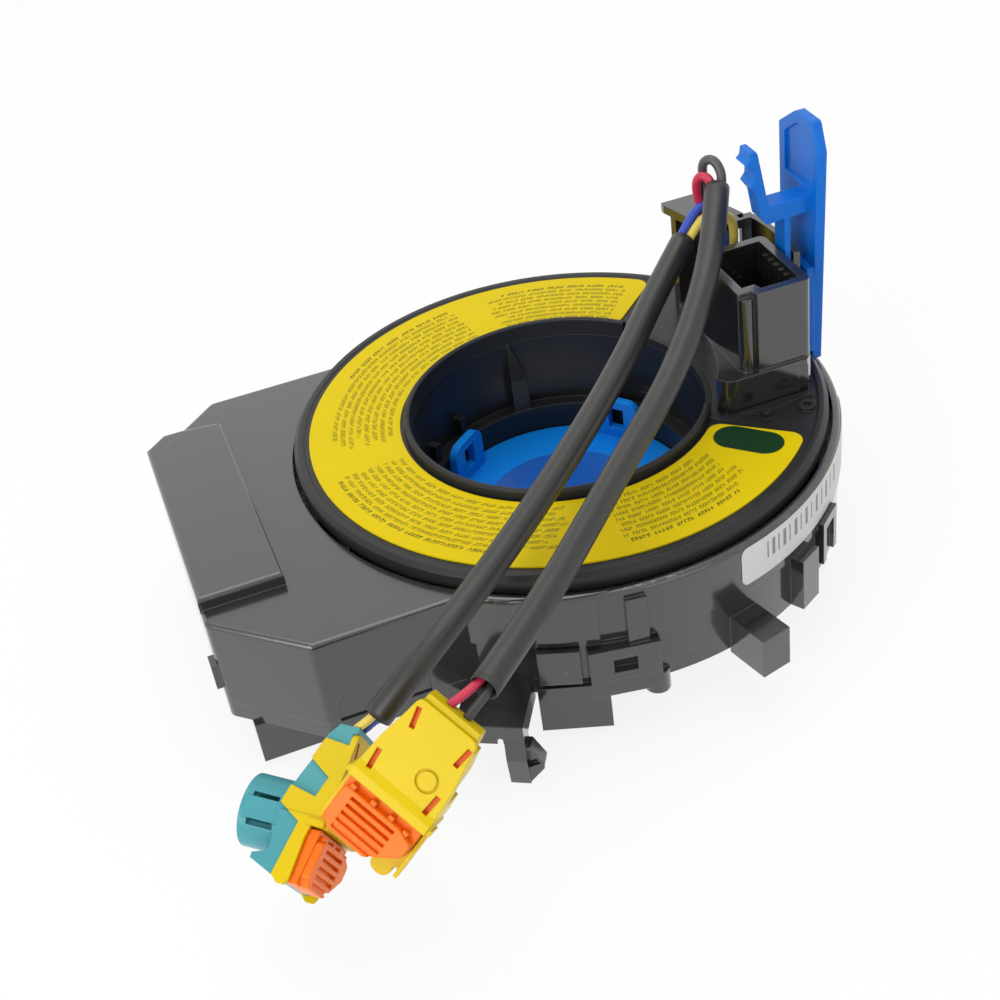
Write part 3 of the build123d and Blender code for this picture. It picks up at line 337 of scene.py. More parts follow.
def moulded_grain():
    """Group: roughness and height of moulded plastic, from fine grain and broad flow patches."""
    found = bpy.data.node_groups.get("Moulded Grain")
    if found:
        return found
    tree, w, inside, out = new_group(
        "Moulded Grain",
        [("Roughness", "F", 0.3), ("Spread", "F", 0.08), ("Grain Size", "F", 0.0004),
         ("Grain Height", "F", 0.3)],
        [("Roughness", "F"), ("Height", "F")])
    place = w.add("ShaderNodeTexCoord").outputs["Object"]
    scale = w.maths("DIVIDE", 1.0, inside["Grain Size"])
    fine = w.add("ShaderNodeTexNoise", {"Vector": place, "Scale": scale, "Detail": 3.0, "Roughness": 0.6})
    broad = w.add("ShaderNodeTexNoise", {"Vector": place, "Scale": 70.0, "Detail": 4.0, "Roughness": 0.55})
    wipe = w.add("ShaderNodeTexNoise", {"Vector": place, "Scale": 420.0, "Detail": 2.0})
    shift = w.maths("SUBTRACT", broad.outputs["Fac"], 0.5)
    small = w.maths("MULTIPLY", w.maths("SUBTRACT", wipe.outputs["Fac"], 0.5), 0.5)
    both = w.maths("MULTIPLY", w.maths("ADD", shift, small), w.maths("MULTIPLY", inside["Spread"], 3.0))
    w.feed(out["Roughness"], w.maths("ADD", inside["Roughness"], both, clamp=True))
    height = w.maths("ADD", fine.outputs["Fac"], w.maths("MULTIPLY", broad.outputs["Fac"], 0.35))
    w.feed(out["Height"], w.maths("MULTIPLY", height, inside["Grain Height"]))
    return tree


def dust_specks():
    """Group: mask of pale specks and lint, mostly on faces that look up."""
    found = bpy.data.node_groups.get("Dust Specks")
    if found:
        return found
    tree, w, inside, out = new_group("Dust Specks", [("Amount", "F", 0.3), ("Spacing", "F", 0.0035)],
                                     [("Mask", "F")])
    place = w.add("ShaderNodeTexCoord").outputs["Object"]
    scale = w.maths("DIVIDE", 1.0, inside["Spacing"])
    cells = w.add("ShaderNodeTexVoronoi", {"Vector": place, "Scale": scale, "Randomness": 1.0})
    chance = w.add("ShaderNodeSeparateColor", {"Color": cells.outputs["Color"]})
    size = w.maths("MULTIPLY", w.maths("POWER", chance.outputs[0], 4.0), 0.055)
    speck = w.maths("LESS_THAN", cells.outputs["Distance"], size)
    kept = w.maths("LESS_THAN", chance.outputs[1], inside["Amount"])
    up = w.add("ShaderNodeSeparateXYZ", {"Vector": w.add("ShaderNodeNewGeometry").outputs["Normal"]})
    facing = w.add("ShaderNodeMapRange", {"Value": up.outputs[2], "From Min": -0.4, "From Max": 0.5,
                                          "To Min": 0.15, "To Max": 1.0})
    w.feed(out["Mask"], w.maths("MULTIPLY", w.maths("MULTIPLY", speck, kept), facing.outputs[0]))
    return tree


def soft_edge():
    """Group: rounded normal of moulded edges, and a mask of where they are."""
    found = bpy.data.node_groups.get("Soft Edge")
    if found:
        return found
    tree, w, inside, out = new_group("Soft Edge", [("Radius", "F", 0.0003)], [("Normal", "V"), ("Mask", "F")])
    rounded = w.add("ShaderNodeBevel", {"Radius": inside["Radius"]}, samples=4)
    flat = w.add("ShaderNodeNewGeometry").outputs["Normal"]
    dot = w.add("ShaderNodeVectorMath", {0: rounded.outputs[0], 1: flat}, operation="DOT_PRODUCT")
    edge = w.add("ShaderNodeMapRange", {"Value": dot.outputs["Value"], "From Min": 0.99, "From Max": 0.80})
    w.feed(out["Normal"], rounded.outputs[0])
    w.feed(out["Mask"], edge.outputs[0])
    return tree


def print_rows():
    """Group: mask of short printed strokes in rows that follow the ring between two angles."""
    found = bpy.data.node_groups.get("Print Rows")
    if found:
        return found
    tree, w, inside, out = new_group(
        "Print Rows",
        [("Inner Row", "F", 0.03), ("Row Pitch", "F", 0.0014), ("Rows", "F", 9.0),
         ("Start", "F", 0.0), ("End", "F", 60.0), ("Heading End", "F", 40.0)],
        [("Mask", "F")])
    place = w.add("ShaderNodeSeparateXYZ", {"Vector": w.add("ShaderNodeTexCoord").outputs["Object"]})
    x, y = place.outputs[0], place.outputs[1]
    radius = w.maths("SQRT", w.maths("ADD", w.maths("MULTIPLY", x, x), w.maths("MULTIPLY", y, y)))
    turn = w.maths("DEGREES", w.maths("ARCTAN2", y, x))
    turn = w.maths("MODULO", w.maths("ADD", w.maths("SUBTRACT", turn, inside["Start"]), 720.0), 360.0)
    span = w.maths("SUBTRACT", inside["End"], inside["Start"])
    row_place = w.maths("DIVIDE", w.maths("SUBTRACT", radius, inside["Inner Row"]), inside["Row Pitch"])
    row = w.maths("FLOOR", row_place)
    across = w.maths("FRACT", row_place)
    heading = w.maths("GREATER_THAN", row, w.maths("SUBTRACT", inside["Rows"], 1.5))
    # Length along the row, in strokes that are longer in the heading
    along = w.maths("MULTIPLY", w.maths("RADIANS", turn), radius)
    stroke = w.maths("ADD", 0.00052, w.maths("MULTIPLY", heading, 0.00016))
    step_place = w.maths("DIVIDE", along, stroke)
    step = w.maths("FLOOR", step_place)
    part = w.maths("FRACT", step_place)
    pair = w.add("ShaderNodeCombineXYZ", {"X": step, "Y": row, "Z": inside["Start"]})
    chance = w.add("ShaderNodeTexWhiteNoise", {"Vector": pair.outputs[0]}, noise_dimensions="3D")
    picks = w.add("ShaderNodeSeparateColor", {"Color": chance.outputs["Color"]})
    # Gaps between groups of strokes
    group_place = w.maths("ADD", w.maths("DIVIDE", step, 6.0), w.maths("MULTIPLY", row, 0.37))
    group_step = w.maths("FLOOR", group_place)
    gap_at = w.maths("FRACT", group_place)
    group_pair = w.add("ShaderNodeCombineXYZ", {"X": group_step, "Y": row, "Z": 3.0})
    group_chance = w.add("ShaderNodeTexWhiteNoise", {"Vector": group_pair.outputs[0]}, noise_dimensions="3D")
    open_gap = w.maths("LESS_THAN", gap_at, 0.16)
    gap = w.maths("MULTIPLY", open_gap, w.maths("LESS_THAN", group_chance.outputs["Value"], 0.75))
    # Two uprights with one bar, chosen by chance
    left = w.band(part, 0.12, 0.34, 0.05)
    right = w.maths("MULTIPLY", w.band(part, 0.58, 0.78, 0.05),
                    w.maths("GREATER_THAN", picks.outputs[0], 0.35))
    bar_height = w.maths("ADD", 0.24, w.maths("MULTIPLY", picks.outputs[1], 0.42))
    bar_gap = w.maths("ABSOLUTE", w.maths("SUBTRACT", across, bar_height))
    bar = w.maths("MULTIPLY", w.maths("LESS_THAN", bar_gap, 0.075), w.band(part, 0.12, 0.78, 0.03))
    shape = w.maths("MAXIMUM", w.maths("MAXIMUM", left, right), bar)
    tall = w.band(across, 0.17, 0.80, 0.05)
    # Ragged row ends
    row_chance = w.add("ShaderNodeTexWhiteNoise", noise_dimensions="1D")
    w.feed(row_chance.inputs["W"], w.maths("ADD", row, inside["Start"]))
    trim = w.maths("MULTIPLY", row_chance.outputs["Value"], 7.0)
    last = w.maths("SUBTRACT", span, trim)
    head_last = w.maths("SUBTRACT", inside["Heading End"], inside["Start"])
    last = w.maths("ADD", w.maths("MULTIPLY", last, w.maths("SUBTRACT", 1.0, heading)),
                   w.maths("MULTIPLY", head_last, heading))
    within = w.maths("MULTIPLY", w.maths("GREATER_THAN", turn, 0.8), w.maths("LESS_THAN", turn, last))
    rows = w.maths("MULTIPLY", w.maths("GREATER_THAN", row, -0.5), w.maths("LESS_THAN", row, inside["Rows"]))
    shown = w.maths("MULTIPLY", w.maths("MULTIPLY", shape, tall), w.maths("MULTIPLY", within, rows))
    weight = w.maths("ADD", 0.82, w.maths("MULTIPLY", heading, 0.18))
    shown = w.maths("MULTIPLY", shown, w.maths("SUBTRACT", 1.0, gap))
    w.feed(out["Mask"], w.maths("MULTIPLY", shown, weight))
    return tree


def use_group(w, group, **values):
    made = w.add("ShaderNodeGroup", node_tree=group)
    for name, value in values.items():
        w.feed(made.inputs[name.replace("_", " ")], value)
    return made


def blank_material(name):
    material = bpy.data.materials.new(name)
    material.use_nodes = True
    material.node_tree.nodes.clear()
    w = Wiring(material.node_tree)
    shader = w.add("ShaderNodeBsdfPrincipled")
    w.add("ShaderNodeOutputMaterial", {"Surface": shader.outputs[0]})
    return material, w, shader


def plug_depth(w, origin, across, along, out):
    """Place across, along and out of a plug's cover, in metres, from its origin and three directions."""
    place = w.add("ShaderNodeTexCoord").outputs["Object"]
    moved = w.add("ShaderNodeVectorMath", {0: place, 1: origin}, operation="SUBTRACT")
    found = [w.add("ShaderNodeVectorMath", {0: moved.outputs[0], 1: way}, operation="DOT_PRODUCT")
             for way in (across, along, out)]
    return [node.outputs["Value"] for node in found]


def slot_mask(w, frame):
    """Mask of the four shallow slots in a plug's cover, which show the orange lock body."""
    across, along, height = plug_depth(w, *frame)
    mask = 0.0
    for x, y, turn in COVER_SLOTS:
        side, ahead = w.maths("SUBTRACT", across, x), w.maths("SUBTRACT", along, y)
        c, s = math.cos(math.radians(turn)), math.sin(math.radians(turn))
        u = w.maths("ADD", w.maths("MULTIPLY", side, c), w.maths("MULTIPLY", ahead, s))
        v = w.maths("SUBTRACT", w.maths("MULTIPLY", ahead, c), w.maths("MULTIPLY", side, s))
        inside = w.maths("MULTIPLY", w.maths("LESS_THAN", w.maths("ABSOLUTE", u), SLOT_HALF_WIDTH),
                         w.maths("LESS_THAN", w.maths("ABSOLUTE", v), SLOT_HALF_LENGTH))
        mask = w.maths("MAXIMUM", mask, inside)
    sunk = w.maths("MULTIPLY", w.maths("LESS_THAN", height, SLOT_HIGH),
                   w.maths("GREATER_THAN", height, SLOT_LOW))
    return w.maths("MULTIPLY", mask, sunk)


def moulded_plastic(name, colour, roughness, spread=0.08, edge=0.0003, dust=0.0, edge_highlight=1.35, coat=0.0,
                    subsurface=0.0, specular=0.5, wall_gloss=0.0, slots=None):
    """Moulded plastic with its grain, flow patches, softened edges with a painted highlight along them, and
    dust.

    Upright faces are glossier by wall_gloss, and slots colours the slots of a plug's cover.
    """
    material, w, shader = blank_material(name)
    shader.inputs["Specular IOR Level"].default_value = specular
    level = w.add("ShaderNodeSeparateXYZ", {"Vector": w.add("ShaderNodeTexCoord").outputs["Normal"]})
    upright = w.maths("SUBTRACT", 1.0, w.maths("ABSOLUTE", level.outputs[2]))
    base = w.maths("SUBTRACT", roughness, w.maths("MULTIPLY", upright, wall_gloss))
    surface = use_group(w, moulded_grain(), Roughness=base, Spread=spread, Grain_Size=0.0004,
                        Grain_Height=0.3)
    rim = use_group(w, soft_edge(), Radius=edge)
    place = w.add("ShaderNodeTexCoord").outputs["Object"]
    cloud = w.add("ShaderNodeTexNoise", {"Vector": place, "Scale": 95.0, "Detail": 3.0})
    # Painted highlight: a lighter copy of the colour is mixed in along the moulded edges
    pale = tuple(min(1.0, c * edge_highlight + 0.004) for c in colour) + (1.0,)
    deep = tuple(c * 0.88 for c in colour) + (1.0,)
    tone = w.blend(cloud.outputs["Fac"], deep, tuple(colour) + (1.0,))
    tone = w.blend(w.maths("MULTIPLY", rim.outputs["Mask"], 0.55), tone, pale)
    if dust:
        specks = use_group(w, dust_specks(), Amount=dust, Spacing=0.0032)
        tone = w.blend(w.maths("MULTIPLY", specks.outputs["Mask"], 0.75), tone, DUST_ON_PLASTIC)
        rough = w.maths("ADD", surface.outputs["Roughness"], w.maths("MULTIPLY", specks.outputs["Mask"], 0.5),
                        clamp=True)
    else:
        rough = surface.outputs["Roughness"]
    if slots:
        frame, inner = slots
        tone = w.blend(slot_mask(w, frame), tone, (*inner, 1.0))
    w.feed(shader.inputs["Base Color"], tone)
    w.feed(shader.inputs["Roughness"], rough)
    dent = w.add("ShaderNodeBump", {"Height": surface.outputs["Height"], "Distance": GRAIN_DEPTH,
                                    "Strength": 0.6, "Normal": rim.outputs["Normal"]})
    w.feed(shader.inputs["Normal"], dent.outputs[0])
    if coat:
        shader.inputs["Coat Weight"].default_value = coat
        shader.inputs["Coat Roughness"].default_value = 0.12
    if subsurface:
        shader.inputs["Subsurface Weight"].default_value = subsurface
        shader.inputs["Subsurface Scale"].default_value = 0.002
        shader.inputs["Subsurface Radius"].default_value = tuple(0.3 + c for c in colour)
    return material


def ring_label_film(settings):
    """Yellow label film with blocks of printed strokes and a plain dark green oval."""
    material, w, shader = blank_material("ring_label_film")
    shader.inputs["Specular IOR Level"].default_value = 0.1
    surface = use_group(w, moulded_grain(), Roughness=0.38, Spread=0.06, Grain_Size=0.0006, Grain_Height=0.25)
    marks = []
    for start, end, heading in LABEL_BLOCKS:
        block = use_group(w, print_rows(), Inner_Row=settings.inner_row, Row_Pitch=settings.row_pitch,
                          Rows=float(settings.rows), Start=start, End=end, Heading_End=heading)
        marks.append(block.outputs["Mask"])
    ink = marks[0]
    for mark in marks[1:]:
        ink = w.maths("MAXIMUM", ink, mark)
    # Oval near the end of the ring, across it
    place = w.add("ShaderNodeTexCoord").outputs["Object"]
    moved = w.add("ShaderNodeMapping", {"Vector": place, "Rotation": (0.0, 0.0, math.radians(OVAL_TURN))})
    spot = w.add("ShaderNodeSeparateXYZ", {"Vector": moved.outputs[0]})
    across = w.maths("ABSOLUTE", w.maths("SUBTRACT", spot.outputs[0], OVAL_MIDDLE[0]))
    across = w.maths("MAXIMUM", w.maths("SUBTRACT", across, OVAL_STRAIGHT), 0.0)
    side = w.maths("SUBTRACT", spot.outputs[1], OVAL_MIDDLE[1])
    squares = w.maths("ADD", w.maths("MULTIPLY", across, across), w.maths("MULTIPLY", side, side))
    reach = w.maths("SQRT", squares)
    oval = w.add("ShaderNodeMapRange", {"Value": reach, "From Min": OVAL_RADIUS + 0.0001,
                                         "From Max": OVAL_RADIUS - 0.0001})
    cloud = w.add("ShaderNodeTexNoise", {"Vector": place, "Scale": 130.0, "Detail": 3.0})
    film = w.blend(cloud.outputs["Fac"], tuple(c * 0.93 for c in settings.film) + (1.0,),
                   tuple(settings.film) + (1.0,))
    tone = w.blend(ink, film, tuple(settings.ink) + (1.0,))
    tone = w.blend(oval.outputs[0], tone, OVAL_GREEN)
    specks = use_group(w, dust_specks(), Amount=0.25, Spacing=0.006)
    tone = w.blend(w.maths("MULTIPLY", specks.outputs["Mask"], 0.4), tone, DUST_ON_LABEL)
    w.feed(shader.inputs["Base Color"], tone)
    w.feed(shader.inputs["Roughness"], surface.outputs["Roughness"])
    raised = w.maths("ADD", surface.outputs["Height"], w.maths("MULTIPLY", ink, 0.4))
    dent = w.add("ShaderNodeBump", {"Height": raised, "Distance": GRAIN_DEPTH, "Strength": 0.5})
    w.feed(shader.inputs["Normal"], dent.outputs[0])
    return material


def side_sticker_film():
    """White sticker film on the drum with plain bars."""
    material, w, shader = blank_material("side_sticker_film")
    surface = use_group(w, moulded_grain(), Roughness=0.42, Spread=0.05, Grain_Size=0.0005, Grain_Height=0.3)
    place = w.add("ShaderNodeSeparateXYZ", {"Vector": w.add("ShaderNodeTexCoord").outputs["Object"]})
    turn = w.maths("DEGREES", w.maths("ARCTAN2", place.outputs[1], place.outputs[0]))
    bars = w.band(turn, -69.6, -69.2, 0.08)
    for low, high in STICKER_BARS:
        bars = w.maths("MAXIMUM", bars, w.band(turn, low, high, 0.1))
    tall = w.band(place.outputs[2], BARS_LOW, BARS_HIGH, 0.00005)
    grey = (0.66, 0.645, 0.625, 1.0)
    tone = w.blend(w.maths("MULTIPLY", w.maths("MULTIPLY", bars, tall), 0.75), grey, (0.06, 0.06, 0.06, 1.0))
    w.feed(shader.inputs["Base Color"], tone)
    w.feed(shader.inputs["Roughness"], surface.outputs["Roughness"])
    dent = w.add("ShaderNodeBump", {"Height": surface.outputs["Height"], "Distance": GRAIN_DEPTH,
                                    "Strength": 0.5})
    w.feed(shader.inputs["Normal"], dent.outputs[0])
    return material


def wire_skin(name, colour, roughness=0.38):
    """Wire insulation or sleeving with fine grain, uneven colour and specks of dust."""
    material, w, shader = blank_material(name)
    surface = use_group(w, moulded_grain(), Roughness=roughness, Spread=0.09, Grain_Size=0.00035,
                        Grain_Height=0.35)
    place = w.add("ShaderNodeTexCoord").outputs["Object"]
    cloud = w.add("ShaderNodeTexNoise", {"Vector": place, "Scale": 160.0, "Detail": 3.0})
    tone = w.blend(cloud.outputs["Fac"], tuple(c * 0.82 for c in colour) + (1.0,), tuple(colour) + (1.0,))
    specks = use_group(w, dust_specks(), Amount=0.3, Spacing=0.0028)
    tone = w.blend(w.maths("MULTIPLY", specks.outputs["Mask"], 0.6), tone, DUST_ON_WIRE)
    w.feed(shader.inputs["Base Color"], tone)
    w.feed(shader.inputs["Roughness"], surface.outputs["Roughness"])
    dent = w.add("ShaderNodeBump", {"Height": surface.outputs["Height"], "Distance": 2 * GRAIN_DEPTH,
                                    "Strength": 0.6})
    w.feed(shader.inputs["Normal"], dent.outputs[0])
    return material


def plated_metal(name, colour):
    """Plated contact metal with a brushed look."""
    material, w, shader = blank_material(name)
    place = w.add("ShaderNodeTexCoord").outputs["Object"]
    streak = w.add("ShaderNodeMapping", {"Vector": place, "Scale": (4000.0, 4000.0, 200.0)})
    brush = w.add("ShaderNodeTexNoise", {"Vector": streak.outputs[0], "Scale": 1.0, "Detail": 2.0})
    tone = w.blend(brush.outputs["Fac"], tuple(c * 0.8 for c in colour) + (1.0,), tuple(colour) + (1.0,))
    w.feed(shader.inputs["Base Color"], tone)
    w.feed(shader.inputs["Roughness"], w.maths("ADD", 0.2, w.maths("MULTIPLY", brush.outputs["Fac"], 0.2)))
    shader.inputs["Metallic"].default_value = 1.0
    return material


# Pieces

def dress(material, *nodes):
    for name in nodes:
        piece = frame["nodes"][name]
        piece.data.materials.clear()
        piece.data.materials.append(material)


def tube(name, route, diameter, material, body, wall=0.0):
    """Round cord on a smooth spline along its route; with a wall it is an open sleeve."""
    curve = bpy.data.curves.new(name, "CURVE")
    curve.dimensions = "3D"
    curve.resolution_u = 16
    curve.bevel_depth = diameter / 2
    curve.bevel_resolution = 6
    curve.use_fill_caps = not wall
    spline = curve.splines.new("NURBS")
    spline.points.add(len(route) - 1)
    for point, spot in zip(spline.points, route):
        point.co = (*spot, 1.0)
    spline.order_u = 3
    spline.use_endpoint_u = True
    piece = bpy.data.objects.new(name, curve)
    bpy.context.scene.collection.objects.link(piece)
    curve.materials.append(material)
    if wall:
        shell = piece.modifiers.new("wall", "SOLIDIFY")
        shell.thickness = wall
        shell.offset = -1.0
    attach(piece, body)
    return piece


def curved_film(name, radius, start, end, low, high, corner, thickness, material, body):
    """Thin film with rounded corners on the outside of a drum, between two angles and two heights."""
    mesh = bpy.data.meshes.new(name)
    film = bmesh.new()
    columns = 96
    reach = math.radians(end - start) * radius
    before = None
    for step in range(columns + 1):
        # Columns crowd toward both ends, where the corners turn
        share = 0.5 - 0.5 * math.cos(math.pi * step / columns)
        along = share * reach
        gap = max(0.0, corner - min(along, reach - along))
        inset = corner - math.sqrt(max(0.0, corner * corner - gap * gap))
        turn = math.radians(start) + along / radius
        spots = [low + inset, low + inset + 0.0001, high - inset - 0.0001, high - inset]
        column = [film.verts.new((radius * math.cos(turn), radius * math.sin(turn), z)) for z in spots]
        if before:
            for a, b, c, d in zip(before, column, column[1:], before[1:]):
                film.faces.new((a, b, c, d))
        before = column
    for face in film.faces:
        face.smooth = True
    film.to_mesh(mesh)
    film.free()
    piece = bpy.data.objects.new(name, mesh)
    bpy.context.scene.collection.objects.link(piece)
    shell = piece.modifiers.new("thickness", "SOLIDIFY")
    shell.thickness = thickness
    shell.offset = 1.0
    mesh.materials.append(material)
    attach(piece, body)
    return piece


def settings_of(context):
    return context.scene.clock_spring


class CLOCKSPRING_OT_stage(bpy.types.Operator):
    """Adds the floor, the soft lamps, the world and the camera"""
    bl_idname = "clockspring.stage"
    bl_label = "Add Stage"

    def execute(self, context):
        stage = settings_of(context).stage
        camera_data = bpy.data.cameras.new("camera")
        camera_data.lens = stage.lens
        camera_data.sensor_width = 36.0
        camera_data.clip_start = 0.01
        camera_data.clip_end = 20.0
        camera = bpy.data.objects.new("camera", camera_data)
        context.scene.collection.objects.link(camera)
        right = Vector(CAMERA_RIGHT)
        up = Vector(CAMERA_UP)
        back = right.cross(up).normalized()
        up = back.cross(right).normalized()
        right = up.cross(back)
        turn = Matrix((right, up, back)).transposed().to_4x4()
        camera.matrix_world = Matrix.Translation(CAMERA_PLACE) @ turn
        context.scene.camera = camera
        context.scene.view_settings.view_transform = "Standard"

        floor_mesh = bpy.data.meshes.new("floor")
        low = cad_box[0].z
        corners = [(x * FLOOR_REACH, y * FLOOR_REACH, low) for x, y in ((-1, -1), (1, -1), (1, 1), (-1, 1))]
        floor_mesh.from_pydata(corners, [], [(0, 1, 2, 3)])
        floor = bpy.data.objects.new("floor", floor_mesh)
        context.scene.collection.objects.link(floor)
        material, w, shader = blank_material("floor_paper")
        place = w.add("ShaderNodeTexCoord").outputs["Object"]
        fibre = w.add("ShaderNodeTexNoise", {"Vector": place, "Scale": 60.0, "Detail": 3.0})
        tone = w.blend(fibre.outputs["Fac"], tuple(c * 0.99 for c in stage.floor_colour) + (1.0,),
                       tuple(stage.floor_colour) + (1.0,))
        w.feed(shader.inputs["Base Color"], tone)
        shader.inputs["Roughness"].default_value = 0.95
        # The camera and the glossy pieces see mostly plain white, with a part of the shadow
        path = w.add("ShaderNodeLightPath")
        seen = w.maths("MAXIMUM", path.outputs["Is Camera Ray"], path.outputs["Is Glossy Ray"])
        seen = w.maths("MAXIMUM", seen, path.outputs["Is Transmission Ray"])
        glow = w.add("ShaderNodeEmission", {"Color": WHITE, "Strength": 1.0})
        share = w.maths("MULTIPLY", seen, stage.floor_glow)
        joined = w.add("ShaderNodeMixShader", {0: share, 1: shader.outputs[0], 2: glow.outputs[0]})
        w.feed(material.node_tree.nodes["Material Output"].inputs["Surface"], joined)
        floor_mesh.materials.append(material)

        world = bpy.data.worlds.new("studio")
        context.scene.world = world
        world.use_nodes = True
        world.node_tree.nodes.clear()
        w = Wiring(world.node_tree)
        path = w.add("ShaderNodeLightPath")
        seen = w.maths("MAXIMUM", path.outputs["Is Camera Ray"], path.outputs["Is Glossy Ray"])
        seen = w.maths("MAXIMUM", seen, path.outputs["Is Transmission Ray"])
        plain = w.add("ShaderNodeBackground", {"Color": (0.97, 0.98, 1.0, 1.0), "Strength": 0.50})
        white = w.add("ShaderNodeBackground", {"Color": WHITE, "Strength": 1.0})
        joined = w.add("ShaderNodeMixShader", {0: seen, 1: plain.outputs[0], 2: white.outputs[0]})
        w.add("ShaderNodeOutputWorld", {"Surface": joined.outputs[0]})

        for name, share, size, spot in LAMPS:
            lamp = bpy.data.lights.new(name, "AREA")
            lamp.energy = stage.lamp_power * share
            lamp.size = size
            holder = bpy.data.objects.new(name, lamp)
            context.scene.collection.objects.link(holder)
            holder.location = spot
            aim = Vector(LAMP_AIM) - Vector(spot)
            holder.rotation_euler = aim.to_track_quat("-Z", "Y").to_euler()
        return {"FINISHED"}


class CLOCKSPRING_OT_leads(bpy.types.Operator):
    """Lays the two sleeved leads and their wires"""
    bl_idname = "clockspring.leads"
    bl_label = "Lay Leads"

    def execute(self, context):
        lead = settings_of(context).lead
        skins = {key: wire_skin(f"wire_skin_{key}", colour) for key, colour in WIRE_COLOURS.items()}
        # The tails are a few millimetres long and go with the lead that they come out of
        with_lead = {"a": [], "b": []}
        for node, key, skin, slot, route in (
                ("tail_a_red", "a", "yellow", "wire_yellow", TAIL_A_YELLOW_ROUTE),
                ("tail_a_black", "a", "blue", "wire_blue", TAIL_A_BLUE_ROUTE),
                ("tail_b_red", "b", "red", "wire_red", TAIL_B_RED_ROUTE),
                ("tail_b_black", "b", "black", "wire_grey", TAIL_B_BLACK_ROUTE)):
            piece = tube(f"{node}_wire", route, lead.tail_diameter, skins[skin], "rotor")
            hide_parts(node)
            with_lead[key].append(piece)
        sleeving = wire_skin("black_sleeving", lead.sleeve_colour, roughness=0.40)
        for key, route, length in (("a", LEAD_A_ROUTE, 0.110), ("b", LEAD_B_ROUTE, 0.1115)):
            piece = tube(f"lead_{key}_sleeve", route, lead.lead_diameter, sleeving, "rotor",
                         wall=lead.sleeve_wall)
            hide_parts(f"lead_{key}")
        for colour, route, length in (("grey", GREY_ROUTE, 0.0397), ("red", RED_ROUTE, 0.034),
                                      ("blue", BLUE_ROUTE, 0.034), ("yellow", YELLOW_ROUTE, 0.0335)):
            piece = tube(f"wire_{colour}_riser", route, lead.wire_diameter, skins[colour], "rotor")
            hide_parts(f"wire_{colour}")
        return {"FINISHED"}


class CLOCKSPRING_OT_case(bpy.types.Operator):
    """Dresses the case, the column socket and the side sticker"""
    bl_idname = "clockspring.case"
    bl_label = "Dress Case"

    def execute(self, context):
        case = settings_of(context).case
        black = moulded_plastic("case_plastic", case.colour, case.roughness, spread=0.07,
                                edge=case.edge_radius, dust=case.dust, edge_highlight=2.6, coat=0.85, specular=0.65,
                                wall_gloss=0.12)
        dress(black, "upper_case", "lower_cover", "column_socket", "cable_block_outer")
        dress(plated_metal("contact_plating", (0.75, 0.56, 0.28)), "column_pins", "tower_pins",
              "plug_a_contacts", "plug_b_contacts")
        dress(moulded_plastic("cable_film", (0.62, 0.27, 0.035), 0.25, coat=0.4), "flat_cable")
        sticker = curved_film("side_sticker_film", case.sticker_radius, STICKER_START, STICKER_END,
                              STICKER_LOW, STICKER_HIGH, STICKER_CORNER, STICKER_THICKNESS,
                              side_sticker_film(), "case")
        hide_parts("side_sticker")
        return {"FINISHED"}


class CLOCKSPRING_OT_rotor(bpy.types.Operator):
    """Dresses the rotor, its lip, the ring label, the tower and the post"""
    bl_idname = "clockspring.rotor"
    bl_label = "Dress Rotor"

    def execute(self, context):
        case = settings_of(context).case
        black = moulded_plastic("rotor_plastic", case.colour, case.roughness, spread=0.07,
                                edge=case.edge_radius, dust=case.dust, edge_highlight=2.6, coat=0.9, specular=0.6,
                                wall_gloss=0.08)
        dress(black, "cable_block_inner", "connector_tower", "roof_post")
        # The disc and its hub are duller than the tower, and their colour is darkened to 0.8 of the case colour
        # as painted shade, so the bore stays dark
        disc = moulded_plastic("rotor_disc_plastic", tuple(c * 0.8 for c in case.colour), 0.36, spread=0.09,
                               edge=case.edge_radius, dust=case.dust, edge_highlight=2.6, coat=0.1, specular=0.3)
        dress(disc, "rotor_disc")
        # The lip is matte, and its colour is darkened to 0.7 of the case colour as painted shade inside the
        # bore
        lip = moulded_plastic("bore_lip_plastic", tuple(c * 0.7 for c in case.colour), 0.5, spread=0.12,
                              edge=case.edge_radius * 0.6, dust=case.dust, edge_highlight=2.2, specular=0.35)
        dress(lip, "bore_lip")
        dress(ring_label_film(settings_of(context).label), "ring_label")
        return {"FINISHED"}


class CLOCKSPRING_OT_blue(bpy.types.Operator):
    """Dresses the retaining sleeve and the lock clip"""
    bl_idname = "clockspring.blue"
    bl_label = "Dress Blue Pieces"

    def execute(self, context):
        clip = settings_of(context).clip
        dress(moulded_plastic("clip_plastic", clip.clip_colour, 0.34, edge=0.0005, edge_highlight=1.25,
                              subsurface=0.5, specular=0.22), "lock_clip")
        dress(moulded_plastic("sleeve_plastic", clip.sleeve_colour, 0.36, edge=0.0004, edge_highlight=1.15,
                              subsurface=0.2, specular=0.22), "retaining_sleeve")
        return {"FINISHED"}


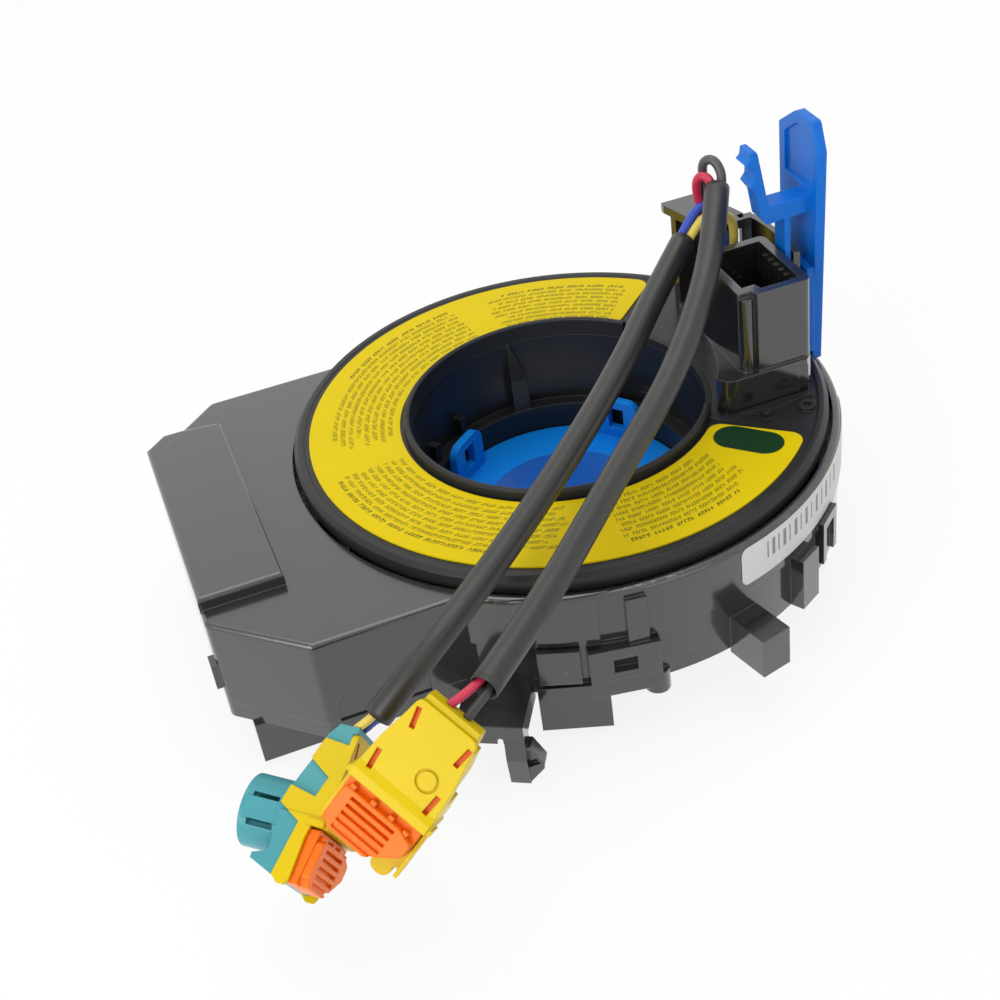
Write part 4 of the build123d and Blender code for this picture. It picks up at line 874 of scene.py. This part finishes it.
class CLOCKSPRING_OT_plugs(bpy.types.Operator):
    """Dresses the two right-angle plugs and their locks"""
    bl_idname = "clockspring.plugs"
    bl_label = "Dress Plugs"

    def execute(self, context):
        plug = settings_of(context).plug
        # The slots of each cover show the orange lock body under it, darkened to 0.8 of the lock orange as
        # painted shade under the cover
        inner = tuple(c * 0.8 for c in plug.orange)
        covers = [moulded_plastic(f"plug_{key}_cover_plastic", plug.yellow, 0.34, edge=0.0003, edge_highlight=1.05,
                                  subsurface=0.1, specular=0.2, slots=(frame, inner))
                  for key, frame in (("a", PLUG_A_FRAME), ("b", PLUG_B_FRAME))]
        yellow = moulded_plastic("plug_yellow_plastic", tuple(c * 0.93 for c in plug.yellow), 0.36,
                                 edge=0.0003, edge_highlight=1.05, subsurface=0.1, specular=0.2)
        orange = moulded_plastic("plug_orange_plastic", plug.orange, 0.33, edge=0.0004, edge_highlight=1.1,
                                 subsurface=0.25, specular=0.25)
        teal = moulded_plastic("plug_teal_plastic", plug.teal, 0.30, edge=0.0003, edge_highlight=1.2,
                               subsurface=0.1, specular=0.3)
        dress(covers[0], "plug_a_cover")
        dress(covers[1], "plug_b_cover")
        dress(yellow, "plug_b_base")
        dress(teal, "plug_a_base")
        dress(orange, "plug_a_lock", "plug_b_lock")
        return {"FINISHED"}


class CLOCKSPRING_PT_panel(bpy.types.Panel):
    bl_label = "Clock Spring"
    bl_idname = "CLOCKSPRING_PT_panel"
    bl_space_type = "VIEW_3D"
    bl_region_type = "UI"
    bl_category = "Clock Spring"

    def draw(self, context):
        layout = self.layout
        settings = settings_of(context)
        for operator in PIECES:
            layout.operator(operator.bl_idname)
        for group in ("case", "label", "clip", "lead", "plug", "stage"):
            box = layout.box()
            box.label(text=group.title())
            for name in getattr(settings, group).__annotations__:
                box.prop(getattr(settings, group), name)


PIECES = (
    CLOCKSPRING_OT_stage,
    CLOCKSPRING_OT_leads,
    CLOCKSPRING_OT_case,
    CLOCKSPRING_OT_rotor,
    CLOCKSPRING_OT_blue,
    CLOCKSPRING_OT_plugs,
)

CLASSES = (
    CaseSettings,
    LabelSettings,
    ClipSettings,
    LeadSettings,
    PlugSettings,
    StageSettings,
    ClockSpringSettings,
    *PIECES,
    CLOCKSPRING_PT_panel,
)


def register():
    for cls in CLASSES:
        bpy.utils.register_class(cls)
    bpy.types.Scene.clock_spring = PointerProperty(type=ClockSpringSettings)


def unregister():
    del bpy.types.Scene.clock_spring
    for cls in reversed(CLASSES):
        bpy.utils.unregister_class(cls)


def main():
    register()
    bpy.ops.clockspring.stage()
    bpy.ops.clockspring.leads()
    bpy.ops.clockspring.case()
    bpy.ops.clockspring.rotor()
    bpy.ops.clockspring.blue()
    bpy.ops.clockspring.plugs()


if __name__ == "__main__":
    main()
